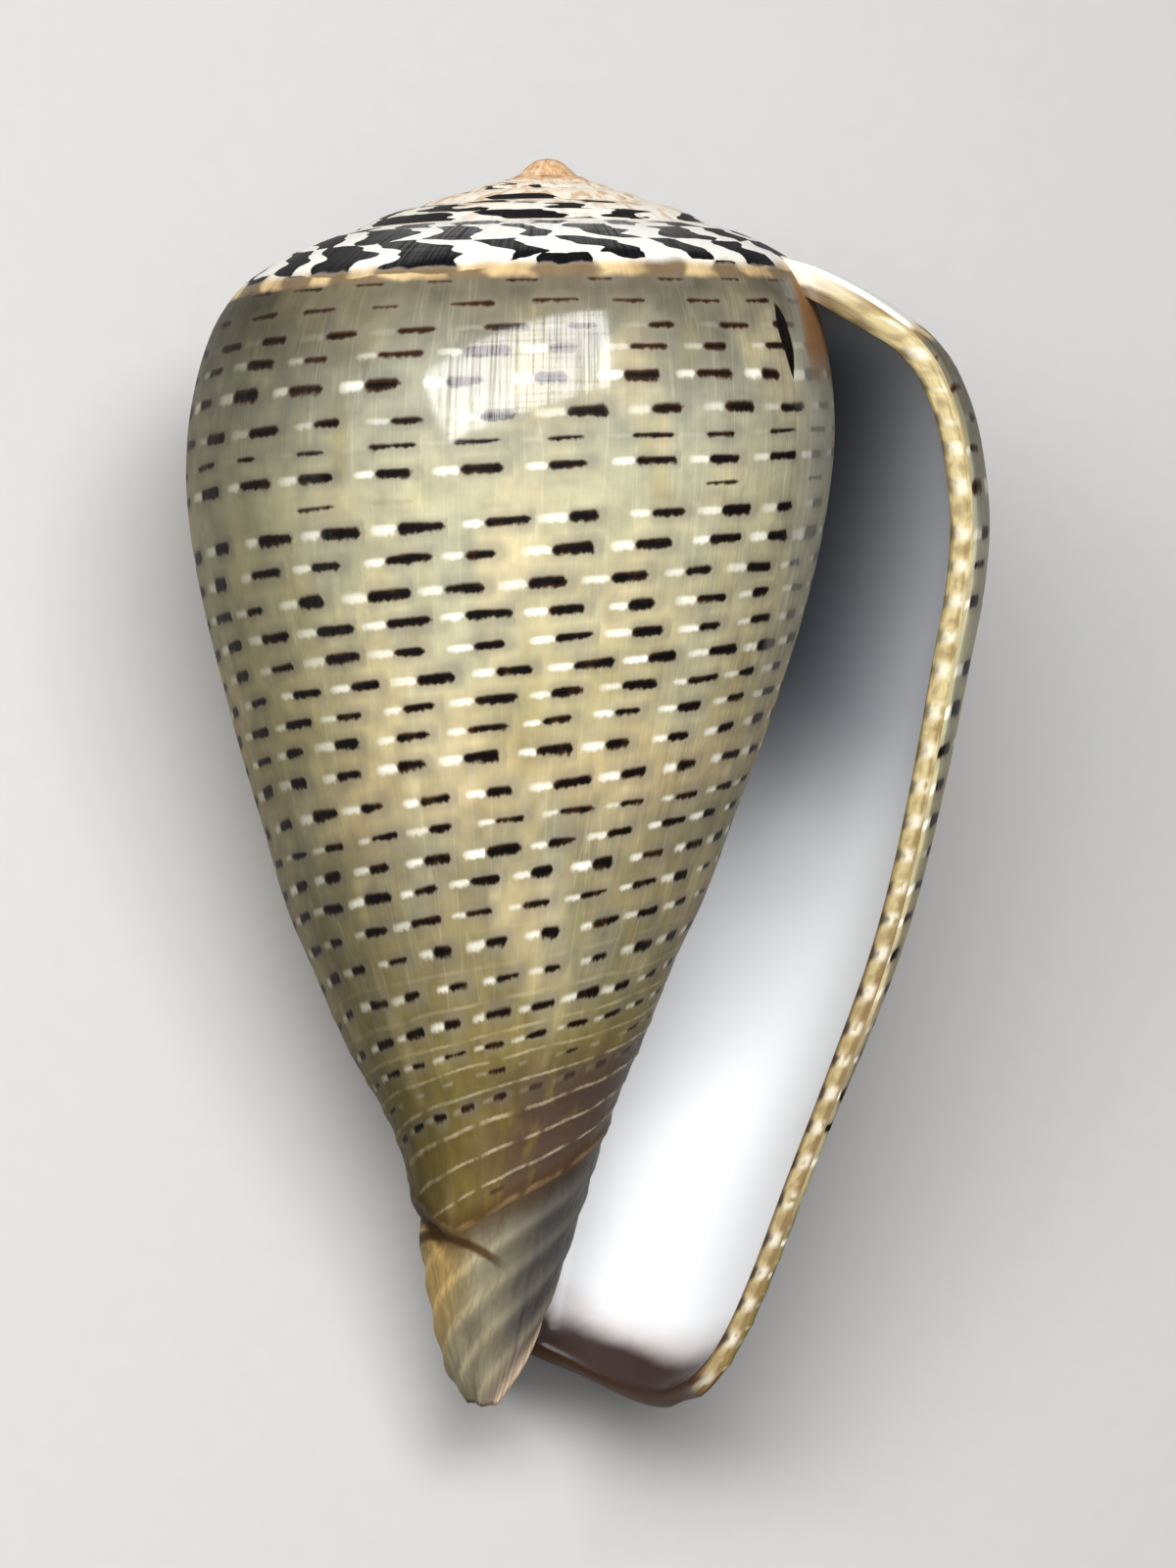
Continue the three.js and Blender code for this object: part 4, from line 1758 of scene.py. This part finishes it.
@dataclass(frozen=True)
class Studio:
    """A pale floor, soft lights and the camera over the mouth.

    Attributes:
        lens: the camera's focal length, in mm.
        sensor: the longer side of its sensor, in mm.
        shell_length: in metres.
        fill: the share of the view's height that the shell's length takes.
        roll: how far the camera is turned about its own axis.
        aim_height: the height of the middle of the view, in metres.
        floor_reach: how far the floor reaches to each side, in metres.
        floor_colour: the floor's; floor_roughness is its roughness.
        grain_scale: how fine the floor's grain is; grain_gain is how much it brightens.
        room_colour: the room's own light; room_light is its strength.
    """

    lens: float = 200.0
    sensor: float = 36.0
    shell_length: float = 0.05
    fill: float = 0.80
    roll: float = math.radians(0.8)
    aim_height: float = 0.013
    floor_reach: float = 2.0
    floor_colour: Colour = (0.47, 0.465, 0.455)
    floor_roughness: float = 0.6
    grain_scale: float = 900.0
    grain_gain: float = 1.02
    room_colour: Colour = (0.9, 0.93, 1.0)
    room_light: float = 0.1

    def floor(self) -> bpy.types.Object:
        """Lays a wide pale floor under the shell.

        Returns:
            The floor.
        """
        mesh = bmesh.new()
        bmesh.ops.create_grid(mesh, x_segments=1, y_segments=1, size=self.floor_reach)
        floor = add_object("floor", mesh_data("floor", mesh))
        g = Graph("floor")
        at = g.value("ShaderNodeTexCoord", "Object")
        inputs = {"Vector": at, "Scale": self.grain_scale, "Detail": 3.0}
        grain = g.value("ShaderNodeTexNoise", 0, None, inputs)
        brighter = tuple(self.grain_gain * part for part in self.floor_colour)
        colour = g.ramp(grain, ((0.3, self.floor_colour), (0.7, brighter)))
        floor.data.materials.append(g.finish(colour, self.floor_roughness, None, 0.0))
        return floor

    def light(self, lamp: Lamp, centre: Vector, axes: Matrix) -> None:
        """Adds a light.

        Args:
            lamp: what it is.
            centre: the middle of the view, which it faces.
            axes: the directions to the right, up and towards the camera, as columns.
        """
        data = bpy.data.lights.new(lamp.name, "AREA")
        data.shape = "RECTANGLE"
        data.size, data.size_y = lamp.size
        data.energy = lamp.power
        light = add_object(lamp.name, data)
        light.location = centre + axes @ Vector(lamp.at)
        light.visible_glossy = lamp.mirrored
        turned = (centre - light.location).to_track_quat("-Z", "Y")
        turned = turned @ Quaternion((0, 0, 1), math.radians(lamp.tilt))
        light.rotation_euler = turned.to_euler()

    def camera(self, centre: Vector, axes: Matrix) -> None:
        """Adds the camera and makes it the scene's.

        Args:
            centre: the middle of the view.
            axes: the directions to the right, up and towards the camera, as columns.
        """
        data = bpy.data.cameras.new("camera")
        data.lens = self.lens
        data.sensor_width = self.sensor
        data.clip_start = 0.01
        camera = add_object("camera", data)
        distance = self.shell_length / self.fill / 2 / (self.sensor / 2 / self.lens)
        turned = axes @ Matrix.Rotation(self.roll, 3, "Z")
        place = Matrix.Translation(centre + axes.col[2] * distance)
        camera.matrix_world = place @ turned.to_4x4()
        bpy.context.scene.camera = camera

    def set_up(self) -> None:
        """Adds the camera, the lights and the room's own faint light."""
        towards = (POSE @ Vector((0, -1, 0))).normalized()
        up = (POSE @ Vector((0, 0, 1))).normalized()
        axes = Matrix((up.cross(towards).normalized(), up, towards)).transposed()
        low, high = (Vector(corner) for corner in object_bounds())
        middle = (low + high) / 2
        centre = Vector((middle.x, middle.y, self.aim_height))
        self.camera(centre, axes)
        for lamp in LAMPS:
            self.light(lamp, centre, axes)
        world = bpy.data.worlds.new("studio")
        world.use_nodes = True
        background = world.node_tree.nodes["Background"]
        background.inputs["Color"].default_value = (*self.room_colour, 1.0)
        background.inputs["Strength"].default_value = self.room_light
        bpy.context.scene.world = world
        bpy.context.scene.view_settings.view_transform = "Standard"


def main() -> None:
    """Builds the shell and the studio round it."""
    logging.basicConfig(level=logging.INFO, format="%(name)s: %(message)s")
    piece = Shell(Form()).build()
    write_dash_lines(piece)
    for finish in (OutsideFinish(), LiningFinish(), RimFinish()):
        piece.data.materials.append(finish.make())
    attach(piece, "root")
    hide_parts("shell")
    LOG.info("%s: %d triangles", piece.name, sum(len(p.vertices) - 2 for p in piece.data.polygons))
    studio = Studio()
    studio.floor()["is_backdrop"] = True
    studio.set_up()


if __name__ == "__main__":
    main()
